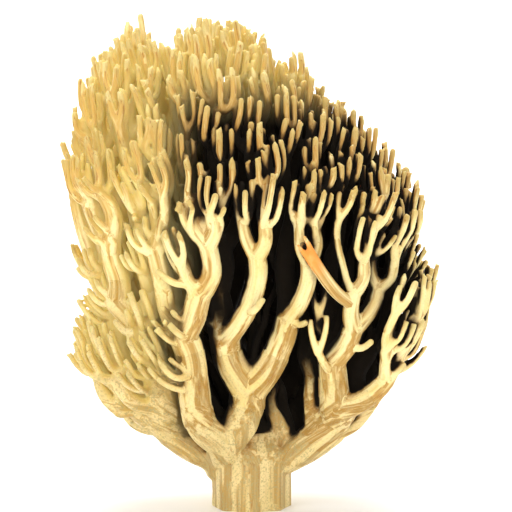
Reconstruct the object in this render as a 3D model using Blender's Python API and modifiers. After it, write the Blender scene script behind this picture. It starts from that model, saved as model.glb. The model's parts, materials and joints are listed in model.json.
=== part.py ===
"""A coral fungus: one fleshy base that forks again and again into a dense crown of
upright, blunt branches.  The base is cut off flat where it stood in the ground."""

import math
import random

import bmesh
import bpy
import numpy as np
from mathutils import Vector, kdtree
from mathutils.bvhtree import BVHTree

MM = 0.001

# The outline of the crown seen from the front, across and up in millimetres.
OUTLINE = [(-11, 0), (-12, 10), (-20, 18), (-34, 26), (-50, 37), (-60, 49), (-56, 62),
           (-54, 70), (-60, 77), (-57, 88), (-61, 98), (-61, 108), (-57, 119), (-56, 130),
           (-50, 139), (-41, 149), (-36, 147), (-32, 138), (-28, 146), (-19, 149),
           (-11, 150), (-6, 144), (1, 139), (9, 136), (16, 128), (24, 122), (33, 114),
           (37, 107), (45, 101), (47, 93), (44, 82), (50, 77), (52, 70), (48, 62),
           (45, 52), (45, 41), (40, 33), (30, 24), (20, 14), (12, 5), (11, 0)]
# How low the outermost tips hang, across and up in millimetres.
SKIRT = [(-62, 44), (-50, 33), (-36, 24), (-33, 30), (-26, 70), (-18, 92), (-8, 98),
         (12, 97), (26, 92), (36, 74), (40, 50), (53, 44)]
CROWN_HALF_DEPTH = 42.0
CROWN_ROUNDING = 50.0
LEFT_SLIMMING = 0.28
SLIMMEST_X = 45.0
TIPS_ACROSS = (-62.0, 53.0)
TIP_HEIGHTS = (24.0, 150.0)
TIP_SPACING = 6.9
TIP_TRIES = 16000
RIM_WIDTH = 5.0
RIM_INSET = 1.0

# The line from the ground to each tip, in millimetres or as shares of its length.
STEP = 1.5
PATH_FINENESS = 60
FOOT_X = -5.0
BASE_SPREAD_X = 0.11
BASE_SPREAD_Y = 0.12
OUTWARD_FROM = 20.0
OUTWARD_SHARE = 0.45
UPWARD_SHARE = 0.65
LEAST_CLIMB = 22.0
CLIMB_SHARE = 0.48
KNEE_SHARE = 0.42
SHOULDER_SHARE = 0.36

# Thickness of the branches, in millimetres.
SHOOT_RADIUS = 1.2
SLIM_POWER = 0.48
THICK_POWER = 0.30
THICK_FROM = 12
FORK_FLARE = 1.35
FLARE_LENGTH = 1.6
FOOT_SLIMNESS = 0.62
FULL_FROM = 26.0
CLUB_LENGTH = 9.0
CLUB_SWELL = 0.65
# How far past a shoot's end its rounding reaches, and how thick it still is there.
ROUNDED_END = ((0.45, 0.85), (0.75, 0.45))
# Height and radius of the solid heart of the base.
HEART = [(-3, 12), (5, 12), (12, 12), (17, 12), (23, 9), (29, 4)]
GROUND_DEPTH = 3.0

# How branches join on the way down, in millimetres or as multiples of their radii.
LOWEST_FORK = 7.0
SHOOT_LENGTH = 12.0
FORK_SPACING = 4.5
SPACING_PER_RADIUS = 2.0
JOIN_REACH = 1.9
SLIM_REACH = 0.9
TOUCHING_REACH = 1.15
EAGER_AFTER = 2.0
EAGERNESS = 0.3
BLEND_LENGTHS = (5.0, 18.0)
BLEND_PER_OFFSET = 2.7

# Bends and the room between branches, in millimetres.
BEND = 0.9
BEND_FROM = 8.0
BEND_OVER = 25.0
BEND_PACE = 0.11
CROOK = 0.14
CROOK_MORE = 0.22
CROOK_FROM = 50.0
CROOK_PACE = 0.29
KIN_RADII = 1.35
KIN_REACH = 2.0
FREE_FROM = 24.0
FREE_OVER = 12.0
CLEARANCE = 1.5
PUSH = 1.6
LARGEST_SHIFT = 5.0
CLEARING_ROUNDS = (24, 12, 8)
LAST_CLEARING = 4
STRAIGHTENING = 3

# Where the pieces are parted, in millimetres along a branch from the ground.
TRUNK_FROM = 27.0
BRANCH_AFTER = 16.0
FEWEST_TIPS = 5
PARTING = 0.3
SAW_ROOM = 1.6
SAW_SIDES = 20
SAW_REACH = 3.0
SAW_LOOK = 14.0
SAW_MARGIN = 0.5

# The faceted skin, in millimetres.
GROUND = 100.0
TUBE_FINENESS = 2
VOXEL = 0.8
TRIANGLES = 7900
STOUT_OVER = 3.5
STOUT_SHARE = 0.7
STOUT_BIAS = 0.03
UNTANGLE_TURNS = 16
UNTANGLE_SHARE = 0.35
MARKER_STEPS = 3
STUMP_MARKER = (-5.0, 0.0, 4.0)
SHARP_ANGLE = math.radians(50)
SEED = 33

CROWN_FLESH = (0.79, 0.60, 0.25, 1.0)
TRUNK_FLESH = (0.84, 0.68, 0.33, 1.0)
STUMP_FLESH = (0.88, 0.76, 0.45, 1.0)
CROWN_ROUGHNESS = 0.55
TRUNK_ROUGHNESS = 0.58
STUMP_ROUGHNESS = 0.62


def level_at(table, x):
    """Height of a broken line at one place across."""
    if x <= table[0][0]:
        return table[0][1]
    for (x0, z0), (x1, z1) in zip(table, table[1:]):
        if x <= x1:
            return z0 + (z1 - z0) * (x - x0) / (x1 - x0)
    return table[-1][1]


def outline_sides():
    """The straight sides of the outline, one after another."""
    return zip(OUTLINE, OUTLINE[1:] + OUTLINE[:1])


def depth_inside(x, z):
    """How far a point lies inside the outline; negative outside it."""
    nearest = 1e9
    inside = False
    for (x0, z0), (x1, z1) in outline_sides():
        dx = x1 - x0
        dz = z1 - z0
        t = ((x - x0) * dx + (z - z0) * dz) / (dx * dx + dz * dz)
        t = max(0.0, min(1.0, t))
        nearest = min(nearest, math.hypot(x - x0 - t * dx, z - z0 - t * dz))
        if (z0 > z) != (z1 > z) and x < dx * (z - z0) / dz + x0:
            inside = not inside
    return nearest if inside else -nearest


def half_depth(inset, x):
    """Half of the crown's depth, front to back, this far inside its outline."""
    u = max(0.0, 1.0 - inset / CROWN_ROUNDING)
    slimmer = LEFT_SLIMMING * max(0.0, min(1.0, -x / SLIMMEST_X))
    return CROWN_HALF_DEPTH * (1.0 - slimmer) * math.sqrt(max(0.0, 1.0 - u * u))


def scatter_tips(rng):
    """Branch ends spread evenly over the outside of the crown."""
    tips = []
    for _ in range(TIP_TRIES):
        x = rng.uniform(*TIPS_ACROSS)
        z = rng.uniform(*TIP_HEIGHTS)
        side = rng.choice((-1, 1))
        across_rim = rng.uniform(-1, 1)
        inset = depth_inside(x, z)
        if z < level_at(SKIRT, x) or inset < RIM_INSET:
            continue
        if inset < RIM_WIDTH:
            side = across_rim
        tip = Vector((x, side * half_depth(inset, x), z))
        if all((tip - other).length > TIP_SPACING for other in tips):
            tips.append(tip)
    return tips


def bezier(p0, p1, p2, p3, t):
    """A point part of the way along a smooth curve."""
    u = 1.0 - t
    return p0 * u ** 3 + p1 * (3 * u * u * t) + p2 * (3 * u * t * t) + p3 * t ** 3


def path_to(tip):
    """Evenly spaced points from the ground up to one tip."""
    base = Vector((FOOT_X + tip.x * BASE_SPREAD_X, tip.y * BASE_SPREAD_Y, 0.0))
    outward = (tip - Vector((0, 0, OUTWARD_FROM))).normalized()
    arrive = (outward * OUTWARD_SHARE + Vector((0, 0, UPWARD_SHARE))).normalized()
    leave = Vector((tip.x, tip.y, max(LEAST_CLIMB, tip.z * CLIMB_SHARE))).normalized()
    span = (tip - base).length
    knee = base + leave * span * KNEE_SHARE
    shoulder = tip - arrive * span * SHOULDER_SHARE
    steps = range(PATH_FINENESS + 1)
    fine = [bezier(base, knee, shoulder, tip, k / PATH_FINENESS) for k in steps]
    path = [fine[0]]
    run = 0.0
    target = STEP
    for a, b in zip(fine, fine[1:]):
        length = (b - a).length
        while run + length >= target:
            path.append(a.lerp(b, (target - run) / length))
            target += STEP
        run += length
    return path


def branch_radius(tips):
    """Radius of a branch that carries this many tips."""
    if tips <= THICK_FROM:
        return SHOOT_RADIUS * tips ** SLIM_POWER
    stout = SHOOT_RADIUS * THICK_FROM ** SLIM_POWER
    return stout * (tips / THICK_FROM) ** THICK_POWER


class Bunch:
    """Tips whose paths have run together into one branch."""

    def __init__(self, tips, top, mean, forks=()):
        self.tips = tips
        self.top = top
        self.low = 0
        self.mean = mean
        self.forks = list(forks)


def ripe_after(bunch):
    """Length a branch keeps before it may join another."""
    if bunch.tips == 1:
        return SHOOT_LENGTH
    return FORK_SPACING + SPACING_PER_RADIUS * branch_radius(bunch.tips)


def closest_pair(bunches, level):
    """The two branches most ready to join at this level, if any are close enough."""
    if len(bunches) < 2:
        return None
    place = np.array([b.mean[level] for b in bunches])
    radius = np.array([branch_radius(b.tips) for b in bunches])
    tips = np.array([float(b.tips) for b in bunches])
    waited = np.array([(b.top - level) * STEP / ripe_after(b) for b in bunches])
    eager = 1.0 + EAGERNESS * np.maximum(0.0, waited - EAGER_AFTER)
    ripe = np.minimum(waited[:, None], waited[None, :]) >= 1.0
    gap = place[:, None, :] - place[None, :, :]
    dist = np.sqrt(gap[..., 0] ** 2 + gap[..., 1] ** 2 + gap[..., 2] ** 2)
    reach = JOIN_REACH + SLIM_REACH / np.sqrt(tips[:, None] * tips[None, :])
    reach = reach * np.maximum(eager[:, None], eager[None, :])
    reach = np.where(ripe, reach, TOUCHING_REACH) * (radius[:, None] + radius[None, :])
    score = dist / reach + np.eye(len(bunches)) * 1e6
    best = int(np.argmin(np.round(score, 9)))
    a, b = divmod(best, len(bunches))
    if score[a, b] >= 1.0:
        return None
    return bunches[a], bunches[b]


def run_together(tips):
    """Join the paths from the tips downward, as streams join into rivers."""
    paths = [path_to(tip) for tip in tips]
    levels = max(len(path) for path in paths)
    table = np.full((len(paths), levels, 3), np.nan)
    for row, path in enumerate(paths):
        table[row, :len(path)] = [tuple(p) for p in path]
    waiting = sorted(range(len(paths)), key=lambda i: len(paths[i]))
    bunches = []
    for level in range(levels - 1, int(LOWEST_FORK / STEP) - 1, -1):
        while waiting and len(paths[waiting[-1]]) - 1 >= level:
            row = waiting.pop()
            bunches.append(Bunch(1, len(paths[row]) - 1, table[row]))
        pair = closest_pair(bunches, level)
        while pair:
            one, two = pair
            one.low = two.low = level
            total = one.tips + two.tips
            mean = (one.mean * one.tips + two.mean * two.tips) / total
            bunches.remove(one)
            bunches.remove(two)
            bunches.append(Bunch(total, level, mean, (one, two)))
            pair = closest_pair(bunches, level)
    return bunches


class Knot:
    """One point on the centre line of a branch."""

    def __init__(self, place, radius, below, run, branch):
        self.place = place
        self.radius = radius
        self.below = below
        self.run = run
        self.branch = branch
        self.piece = None


class Branch:
    """A run of knots from one fork to the next."""

    def __init__(self, parent, tips):
        self.parent = parent
        self.tips = tips
        self.knots = []
        self.forks = []
        self.last = 0


def lay_out(roots):
    """Turn the joined paths into branches that leave each fork side by side."""
    knots = []
    branches = []

    def follow(bunch, start, parent):
        branch = Branch(parent, bunch.tips)
        branches.append(branch)
        radius = branch_radius(bunch.tips)
        offset = Vector((0, 0, 0))
        first = 0
        wide = radius
        below = start
        if parent:
            parent.forks.append(branch)
            offset = knots[start].place - Vector(bunch.mean[bunch.low])
            first = bunch.low + 1
            wide = min(knots[start].radius, radius * FORK_FLARE)
        shortest, longest = BLEND_LENGTHS
        blend = max(shortest, min(longest, BLEND_PER_OFFSET * offset.length)) / STEP
        for level in range(first, bunch.top + 1):
            u = min(1.0, (level - bunch.low) / blend)
            fade = 1.0 - math.sin(u * math.pi / 2)
            thin = math.exp(-(level - bunch.low) * STEP / (FLARE_LENGTH * radius))
            place = Vector(bunch.mean[level]) + offset * fade
            foot = FOOT_SLIMNESS + (1.0 - FOOT_SLIMNESS) * min(1.0, place.z / FULL_FROM)
            size = (radius + (wide - radius) * thin) * foot
            if not bunch.forks:
                back = (bunch.top - level) * STEP
                size *= 1.0 + CLUB_SWELL * max(0.0, 1.0 - back / CLUB_LENGTH)
            knots.append(Knot(place, size, below, level * STEP, branch))
            below = len(knots) - 1
            branch.knots.append(below)
        for fork in bunch.forks:
            follow(fork, below, branch)
        branch.last = len(knots) - 1

    for root in roots:
        follow(root, None, None)
    return knots, branches


def knot_tree(knots):
    """All knots laid out for finding the nearest ones."""
    tree = kdtree.KDTree(len(knots))
    for i, knot in enumerate(knots):
        tree.insert(knot.place, i)
    tree.balance()
    return tree


def neighbours(knots):
    """For every knot, the knots next to it along the branches."""
    links = [[] for _ in knots]
    for i, knot in enumerate(knots):
        if knot.below is not None:
            links[i].append(knot.below)
            links[knot.below].append(i)
    return links


def kin(knots, links, start):
    """Knots so near along the branches that they may touch the first one."""
    reach = KIN_RADII * knots[start].radius + KIN_REACH
    seen = {start}
    queue = [(start, 0.0)]
    while queue:
        i, run = queue.pop()
        for j in links[i]:
            if j not in seen and run + STEP < reach + KIN_RADII * knots[j].radius:
                seen.add(j)
                queue.append((j, run + STEP))
    return seen


def sway(place, pace, phase):
    """A smooth sideways drift that changes slowly from place to place."""
    x, y, z = place * pace
    return Vector((
        math.sin(1.7 * y + 2.3 * z + phase),
        math.sin(1.3 * x + 1.9 * z + 2.1 * phase),
        0.5 * math.sin(1.1 * x + 1.6 * y + 3.3 * phase),
    ))


def wander(knots):
    """Give every branch a slow bend and a small crook."""
    for knot in knots:
        swing = BEND * max(0.0, min(1.0, (knot.run - BEND_FROM) / BEND_OVER))
        late = max(0.0, min(1.0, (knot.run - CROOK_FROM) / CROOK_FROM))
        crook = CROOK + CROOK_MORE * late
        slow = sway(knot.place, BEND_PACE, SEED)
        quick = sway(knot.place, CROOK_PACE, SEED + 5)
        knot.place = knot.place + slow * swing + quick * crook


def crowding(knots, family, widest):
    """How far every knot must move to stand clear of the branches beside it."""
    tree = knot_tree(knots)
    push = [Vector((0, 0, 0)) for _ in knots]
    for i, one in enumerate(knots):
        for _, j, dist in tree.find_range(one.place, one.radius + widest + CLEARANCE):
            two = knots[j]
            if j <= i or max(one.run, two.run) < FREE_FROM:
                continue
            if j in family[i] or i in family[j]:
                continue
            need = one.radius + two.radius + CLEARANCE - dist
            if need <= 0:
                continue
            away = (one.place - two.place).normalized()
            share = two.radius / (one.radius + two.radius)
            push[i] += away * need * 0.5 * share
            push[j] -= away * need * 0.5 * (1 - share)
    return push


def spread_along(push, links):
    """Share a push with the knots above and below."""
    shared = []
    for i, own in enumerate(push):
        total = own * 2
        for j in links[i]:
            total = total + push[j]
        shared.append(total / (2 + len(links[i])))
    return shared


def straighten(knots, links, rounds):
    """Take sharp kinks out of the centre lines, leaving forks and tips where they are."""
    for _ in range(rounds):
        places = []
        for knot, beside in zip(knots, links):
            place = knot.place
            if len(beside) == 2 and knot.run > LOWEST_FORK:
                middle = (knots[beside[0]].place + knots[beside[1]].place) / 2
                place = place.lerp(middle, 0.5)
            places.append(place)
        for knot, place in zip(knots, places):
            knot.place = place


def stand_clear(knots, links, rounds):
    """Move branches apart until none but kin touch."""
    family = [kin(knots, links, i) for i in range(len(knots))]
    home = [knot.place.copy() for knot in knots]
    widest = max(knot.radius for knot in knots)
    for _ in range(rounds):
        push = crowding(knots, family, widest)
        for _ in range(STRAIGHTENING):
            push = spread_along(push, links)
        for knot, start, move in zip(knots, home, push):
            free = max(0.0, min(1.0, (knot.run - FREE_FROM + FREE_OVER) / FREE_OVER))
            shift = knot.place + move * PUSH * free - start
            if shift.length > LARGEST_SHIFT:
                shift = shift.normalized() * LARGEST_SHIFT
            knot.place = start + shift


def grow():
    """The centre lines of the whole fungus."""
    rng = random.Random(SEED)
    roots = run_together(scatter_tips(rng))
    knots, branches = lay_out(roots)
    wander(knots)
    links = neighbours(knots)
    for rounds in CLEARING_ROUNDS:
        stand_clear(knots, links, rounds)
        straighten(knots, links, STRAIGHTENING)
    stand_clear(knots, links, LAST_CLEARING)
    return knots, branches


def line_below(knots, index):
    """Every knot between this one and the ground."""
    line = set()
    while index is not None:
        line.add(index)
        index = knots[index].below
    return line


def parted_at(knots, tree, branch, least):
    """Step along a branch where it first stands clear, and the room around it there."""
    for step in range(1, len(branch.knots) - 2):
        index = branch.knots[step]
        knot = knots[index]
        if knot.run < least:
            continue
        own = line_below(knots, index)
        room = knot.radius + SAW_REACH
        for _, other, dist in tree.find_range(knot.place, knot.radius + SAW_LOOK):
            if other not in own and not index < other <= branch.last:
                room = min(room, dist - knots[other].radius)
        if room > knot.radius + SAW_ROOM:
            return step, room
    return None


def share_out(knots, branches):
    """Name the piece each knot belongs to and list the partings between pieces."""
    partings = []
    trunks = []
    tree = knot_tree(knots)

    def claim(branch, step, piece):
        for i in branch.knots[step:]:
            knots[i].piece = piece
        for fork in branch.forks:
            claim(fork, 0, piece)

    def part_stump(branch):
        if branch.tips < FEWEST_TIPS:
            return
        found = parted_at(knots, tree, branch, TRUNK_FROM)
        if found is None:
            for fork in branch.forks:
                part_stump(fork)
            return
        trunks.append((branch, *found))

    for branch in branches:
        if branch.parent is None:
            claim(branch, 0, "stump")
            part_stump(branch)

    def bearing(entry):
        place = knots[entry[0].knots[entry[1]]].place
        return round(math.atan2(place.x, -place.y), 6)

    trunks.sort(key=bearing)
    for number, (branch, step, room) in enumerate(trunks, 1):
        name = "trunk_%02d" % number
        claim(branch, step, name)
        partings.append((branch.knots[step], name, room))
        start = knots[branch.knots[step]].run
        made = 0
        queue = list(branch.forks)
        while queue:
            fork = queue.pop(0)
            found = parted_at(knots, tree, fork, start + BRANCH_AFTER)
            if found is None:
                queue += fork.forks
                continue
            if fork.tips < FEWEST_TIPS:
                continue
            made += 1
            piece = "branch_%02d_%d" % (number, made)
            claim(fork, found[0], piece)
            partings.append((fork.knots[found[0]], piece, found[1]))
    return partings


def spline_points(knots, branch):
    """Centre line and radius of one branch, started inside its parent."""
    rows = [(knots[i].place, knots[i].radius) for i in branch.knots]
    if branch.parent:
        below = knots[knots[branch.knots[0]].below]
        rows.insert(0, (below.place, rows[0][1]))
        if below.below is not None:
            rows.insert(0, (knots[below.below].place, rows[0][1]))
    else:
        rows.insert(0, (rows[0][0] - Vector((0, 0, GROUND_DEPTH)), rows[0][1]))
    if branch.forks:
        return rows
    place, radius = rows[-1]
    ahead = (place - rows[-2][0]).normalized()
    for reach, size in ROUNDED_END:
        rows.append((place + ahead * radius * reach, radius * size))
    return rows


def tubes(knots, branches, collection):
    """Every branch as a round, closed tube."""
    curve = bpy.data.curves.new("branches", "CURVE")
    curve.dimensions = "3D"
    curve.bevel_depth = MM
    curve.bevel_resolution = TUBE_FINENESS
    curve.use_fill_caps = True
    for branch in branches:
        if not branch.knots:
            continue
        rows = spline_points(knots, branch)
        spline = curve.splines.new("POLY")
        spline.points.add(len(rows) - 1)
        for point, (place, radius) in zip(spline.points, rows):
            point.co = (*(place * MM), 1.0)
            point.radius = radius
    # the solid heart of the base
    spline = curve.splines.new("POLY")
    spline.points.add(len(HEART) - 1)
    for point, (height, radius) in zip(spline.points, HEART):
        point.co = (FOOT_X * MM, 0.0, height * MM, 1.0)
        point.radius = radius
    thing = bpy.data.objects.new("branches", curve)
    collection.objects.link(thing)
    return thing


def evaluated_mesh(thing):
    """A copy of an object's mesh with its modifiers applied."""
    graph = bpy.context.evaluated_depsgraph_get()
    return bpy.data.meshes.new_from_object(thing.evaluated_get(graph), depsgraph=graph)


def islands_of(bm):
    """The separate skins of a mesh, as lists of vertices."""
    left = set(bm.verts)
    islands = []
    for seed in bm.verts:
        if seed not in left:
            continue
        left.discard(seed)
        island = [seed]
        for vert in island:
            for edge in vert.link_edges:
                other = edge.other_vert(vert)
                if other in left and edge.link_faces:
                    left.discard(other)
                    island.append(other)
        islands.append(island)
    return sorted(islands, key=len, reverse=True)


def keep_largest(mesh):
    """Drop stray crumbs and closed pockets, leaving the one grown body."""
    bm = bmesh.new()
    bm.from_mesh(mesh)
    for island in islands_of(bm)[1:]:
        bmesh.ops.delete(bm, geom=island, context="VERTS")
    bm.to_mesh(mesh)
    bm.free()


def applied(thing):
    """The mesh of an object with its modifiers applied and taken away."""
    mesh = evaluated_mesh(thing)
    thing.modifiers.clear()
    return mesh


def mark_slender(body, knots):
    """Weight the skin so slender shoots give up facets before the trunks do."""
    tree = knot_tree(knots)
    levels = {}
    for vert in body.data.vertices:
        _, index, _ = tree.find(vert.co / MM)
        stout = (knots[index].radius - SHOOT_RADIUS) / STOUT_OVER
        stout = max(0.0, min(1.0, stout))
        levels.setdefault(round(1.0 - STOUT_SHARE * stout, 1), []).append(vert.index)
    group = body.vertex_groups.new(name="slender")
    for weight, verts in levels.items():
        group.add(verts, weight, "REPLACE")


def crossings(bm):
    """Pairs of facets that cut through each other without sharing a corner."""
    tree = BVHTree.FromBMesh(bm)
    bm.faces.ensure_lookup_table()
    found = []
    for a, b in tree.overlap(tree):
        if a < b and not set(bm.faces[a].verts) & set(bm.faces[b].verts):
            found.append((a, b))
    return sorted(found)


def untangle(mesh):
    """Smooth crossing facets into the skin around them until none cross."""
    bm = bmesh.new()
    bm.from_mesh(mesh)
    for _ in range(UNTANGLE_TURNS):
        pairs = crossings(bm)
        if not pairs:
            break
        corners = {vert for pair in pairs for face in pair for vert in bm.faces[face].verts}
        corners = sorted(corners, key=lambda vert: vert.index)
        bmesh.ops.smooth_vert(bm, verts=corners, factor=UNTANGLE_SHARE,
                              use_axis_x=True, use_axis_y=True, use_axis_z=True)
    bm.to_mesh(mesh)
    bm.free()


def fused_body(collection, knots, branches):
    """The tubes fused into one faceted skin."""
    source = tubes(knots, branches, collection)
    body = bpy.data.objects.new("body", evaluated_mesh(source))
    collection.objects.link(body)
    bpy.data.objects.remove(source)
    remesh = body.modifiers.new("fuse", "REMESH")
    remesh.mode = "VOXEL"
    remesh.voxel_size = VOXEL * MM
    body.data = applied(body)
    keep_largest(body.data)
    mark_slender(body, knots)
    body.data.calc_loop_triangles()
    decimate = body.modifiers.new("facet", "DECIMATE")
    decimate.ratio = TRIANGLES / len(body.data.loop_triangles)
    decimate.use_collapse_triangulate = True
    decimate.vertex_group = "slender"
    decimate.vertex_group_factor = STOUT_BIAS
    body.data = applied(body)
    untangle(body.data)
    return body


def put_in(thing, collection, name):
    """Name an object and move it to a collection of its own kind."""
    thing.name = name
    for old in list(thing.users_collection):
        old.objects.unlink(thing)
    collection.objects.link(thing)


def saw_discs(knots, partings, cutters):
    """Thin discs that part one piece from the next, and the block below ground."""
    for index, name, room in partings:
        knot = knots[index]
        upward = (knot.place - knots[knot.below].place).normalized()
        bpy.ops.mesh.primitive_cylinder_add(
            vertices=SAW_SIDES,
            radius=(room - SAW_MARGIN) * MM,
            depth=PARTING * MM,
            location=knot.place * MM,
            rotation=upward.to_track_quat("Z", "Y").to_euler(),
        )
        put_in(bpy.context.object, cutters, "saw_" + name)
    bpy.ops.mesh.primitive_cube_add(size=GROUND * MM, location=(0, 0, -GROUND * MM / 2))
    put_in(bpy.context.object, cutters, "ground")
    for cutter in cutters.objects:
        cutter.hide_render = True
        cutter.display_type = "WIRE"


def saw(body, cutters):
    """Take the discs and the ground out of the body."""
    cut = body.modifiers.new("saw", "BOOLEAN")
    cut.operation = "DIFFERENCE"
    cut.operand_type = "COLLECTION"
    cut.collection = cutters
    cut.solver = "EXACT"
    body.data = applied(body)


def marker_of(knots, index):
    """A place well inside the piece that starts at this knot."""
    row = knots[index].branch.knots
    ahead = min(row.index(index) + MARKER_STEPS, len(row) - 1)
    return knots[row[ahead]].place


def skin_of_each(body, knots, partings):
    """Match every separate skin of the sawn body to the name of its piece."""
    bm = bmesh.new()
    bm.from_mesh(body.data)
    islands = islands_of(bm)
    owner = {}
    for number, island in enumerate(islands):
        for vert in island:
            owner[vert.index] = number
    tree = BVHTree.FromBMesh(bm)
    bm.faces.ensure_lookup_table()
    names = {}
    markers = [("stump", Vector(STUMP_MARKER))]
    markers += [(name, marker_of(knots, index)) for index, name, _ in partings]
    for name, place in markers:
        _, _, face, _ = tree.find_nearest(place * MM)
        number = owner[bm.faces[face].verts[0].index]
        if number in names:
            raise RuntimeError("%s has grown into %s" % (name, names[number]))
        names[number] = name
    skins = []
    for number, island in enumerate(islands):
        if number not in names:
            raise RuntimeError("a skin of %d corners has no name" % len(island))
        skins.append((names[number], [vert.index for vert in island]))
    bm.free()
    return skins


def piece_mesh(mesh, name, verts):
    """One skin as a mesh of its own, in triangles."""
    chosen = set(verts)
    places = {old: new for new, old in enumerate(verts)}
    faces = [[places[v] for v in face.vertices] for face in mesh.polygons
             if face.vertices[0] in chosen]
    piece = bpy.data.meshes.new(name)
    piece.from_pydata([mesh.vertices[v].co for v in verts], [], faces)
    piece.shade_smooth()
    piece.set_sharp_from_angle(angle=SHARP_ANGLE)
    return piece


def flesh(name, colour, roughness):
    """Matt, slightly waxy flesh of one colour."""
    material = bpy.data.materials.new(name)
    material.use_nodes = True
    shader = material.node_tree.nodes["Principled BSDF"]
    shader.inputs["Base Color"].default_value = colour
    shader.inputs["Roughness"].default_value = roughness
    shader.inputs["Metallic"].default_value = 0.0
    return material


def flesh_of(name):
    """Pale flesh at the base, warmer on the trunks, most golden in the crown."""
    if name == "stump":
        return flesh("flesh_" + name, STUMP_FLESH, STUMP_ROUGHNESS)
    if name.startswith("trunk"):
        return flesh("flesh_" + name, TRUNK_FLESH, TRUNK_ROUGHNESS)
    return flesh("flesh_" + name, CROWN_FLESH, CROWN_ROUGHNESS)


def clear_scene():
    """Start from an empty scene."""
    for thing in list(bpy.data.objects):
        bpy.data.objects.remove(thing)


def new_collection(name):
    collection = bpy.data.collections.new(name)
    bpy.context.scene.collection.children.link(collection)
    return collection


def build():
    """Grow the fungus, fuse it into one skin and part it at its main forks."""
    clear_scene()
    fungus = new_collection("coral_fungus")
    cutters = new_collection("cutters")
    knots, branches = grow()
    partings = share_out(knots, branches)
    body = fused_body(fungus, knots, branches)
    saw_discs(knots, partings, cutters)
    saw(body, cutters)
    for name, verts in skin_of_each(body, knots, partings):
        piece = bpy.data.objects.new(name, piece_mesh(body.data, name, verts))
        piece.data.materials.append(flesh_of(name))
        fungus.objects.link(piece)
    bpy.data.objects.remove(body)
    for thing in list(cutters.objects):
        bpy.data.objects.remove(thing)
    bpy.data.collections.remove(cutters)


build()
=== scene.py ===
import json
import math
import random

import bmesh
import bpy
import numpy as np
from bpy.props import FloatProperty, FloatVectorProperty, IntProperty, PointerProperty
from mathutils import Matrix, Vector, kdtree
from mathutils.bvhtree import BVHTree

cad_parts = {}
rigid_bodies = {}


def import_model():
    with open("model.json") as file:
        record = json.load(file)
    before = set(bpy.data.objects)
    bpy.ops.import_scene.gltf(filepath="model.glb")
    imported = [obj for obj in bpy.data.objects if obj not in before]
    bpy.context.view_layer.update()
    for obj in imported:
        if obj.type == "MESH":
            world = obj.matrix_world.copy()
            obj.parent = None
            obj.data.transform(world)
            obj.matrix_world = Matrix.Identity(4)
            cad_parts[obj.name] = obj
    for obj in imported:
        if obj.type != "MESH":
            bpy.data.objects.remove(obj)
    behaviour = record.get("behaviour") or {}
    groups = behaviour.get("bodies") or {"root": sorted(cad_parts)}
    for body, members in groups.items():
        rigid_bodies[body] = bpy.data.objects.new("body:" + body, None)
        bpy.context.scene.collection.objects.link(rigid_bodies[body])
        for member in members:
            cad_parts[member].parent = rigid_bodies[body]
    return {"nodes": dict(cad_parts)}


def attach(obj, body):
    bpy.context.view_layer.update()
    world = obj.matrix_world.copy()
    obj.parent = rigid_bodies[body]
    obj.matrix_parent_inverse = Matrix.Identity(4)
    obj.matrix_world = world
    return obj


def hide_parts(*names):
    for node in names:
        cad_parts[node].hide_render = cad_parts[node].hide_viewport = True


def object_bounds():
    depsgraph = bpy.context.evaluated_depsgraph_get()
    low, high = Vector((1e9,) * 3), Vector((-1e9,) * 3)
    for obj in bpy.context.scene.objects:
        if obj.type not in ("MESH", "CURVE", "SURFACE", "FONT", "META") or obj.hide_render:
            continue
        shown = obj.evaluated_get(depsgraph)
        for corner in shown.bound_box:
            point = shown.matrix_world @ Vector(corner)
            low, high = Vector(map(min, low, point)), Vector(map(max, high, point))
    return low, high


# A coral fungus: the flesh of every branch with its fingers, and a plain studio around it.
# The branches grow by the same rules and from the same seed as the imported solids, so each
# piece lies where the solid that it stands for lies.

bl_info = {
    "name": "Coral fungus",
    "version": (1, 0, 0),
    "blender": (4, 5, 0),
    "location": "3D View > Sidebar > Coral fungus",
    "description": "Flesh, fingers and a plain studio for a branching coral fungus",
    "category": "Add Mesh",
}

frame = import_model()
CAD_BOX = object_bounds()

MM = 0.001

# The outline of the crown seen from the front, across and up in millimetres.
OUTLINE = [(-11, 0), (-12, 10), (-20, 18), (-34, 26), (-50, 37), (-60, 49), (-56, 62),
           (-54, 70), (-60, 77), (-57, 88), (-61, 98), (-61, 108), (-57, 119), (-56, 130),
           (-50, 139), (-41, 149), (-36, 147), (-32, 138), (-28, 146), (-19, 149),
           (-11, 150), (-6, 144), (1, 139), (9, 136), (16, 128), (24, 122), (33, 114),
           (37, 107), (45, 101), (47, 93), (44, 82), (50, 77), (52, 70), (48, 62),
           (45, 52), (45, 41), (40, 33), (30, 24), (20, 14), (12, 5), (11, 0)]
# How low the outermost tips hang, across and up in millimetres.
SKIRT = [(-62, 44), (-50, 33), (-36, 24), (-33, 30), (-26, 70), (-18, 92), (-8, 98),
         (12, 97), (26, 92), (36, 74), (40, 50), (53, 44)]
CROWN_HALF_DEPTH = 42.0
CROWN_ROUNDING = 50.0
LEFT_SLIMMING = 0.28
SLIMMEST_X = 45.0
TIPS_ACROSS = (-62.0, 53.0)
TIP_HEIGHTS = (24.0, 150.0)
TIP_SPACING = 6.9
TIP_TRIES = 16000
RIM_WIDTH = 5.0
RIM_INSET = 1.0

# The line from the ground to each tip, in millimetres or as shares of its length.
STEP = 1.5
PATH_FINENESS = 60
FOOT_X = -5.0
BASE_SPREAD_X = 0.11
BASE_SPREAD_Y = 0.12
OUTWARD_FROM = 20.0
OUTWARD_SHARE = 0.45
UPWARD_SHARE = 0.65
LEAST_CLIMB = 22.0
CLIMB_SHARE = 0.48
KNEE_SHARE = 0.42
SHOULDER_SHARE = 0.36

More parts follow.
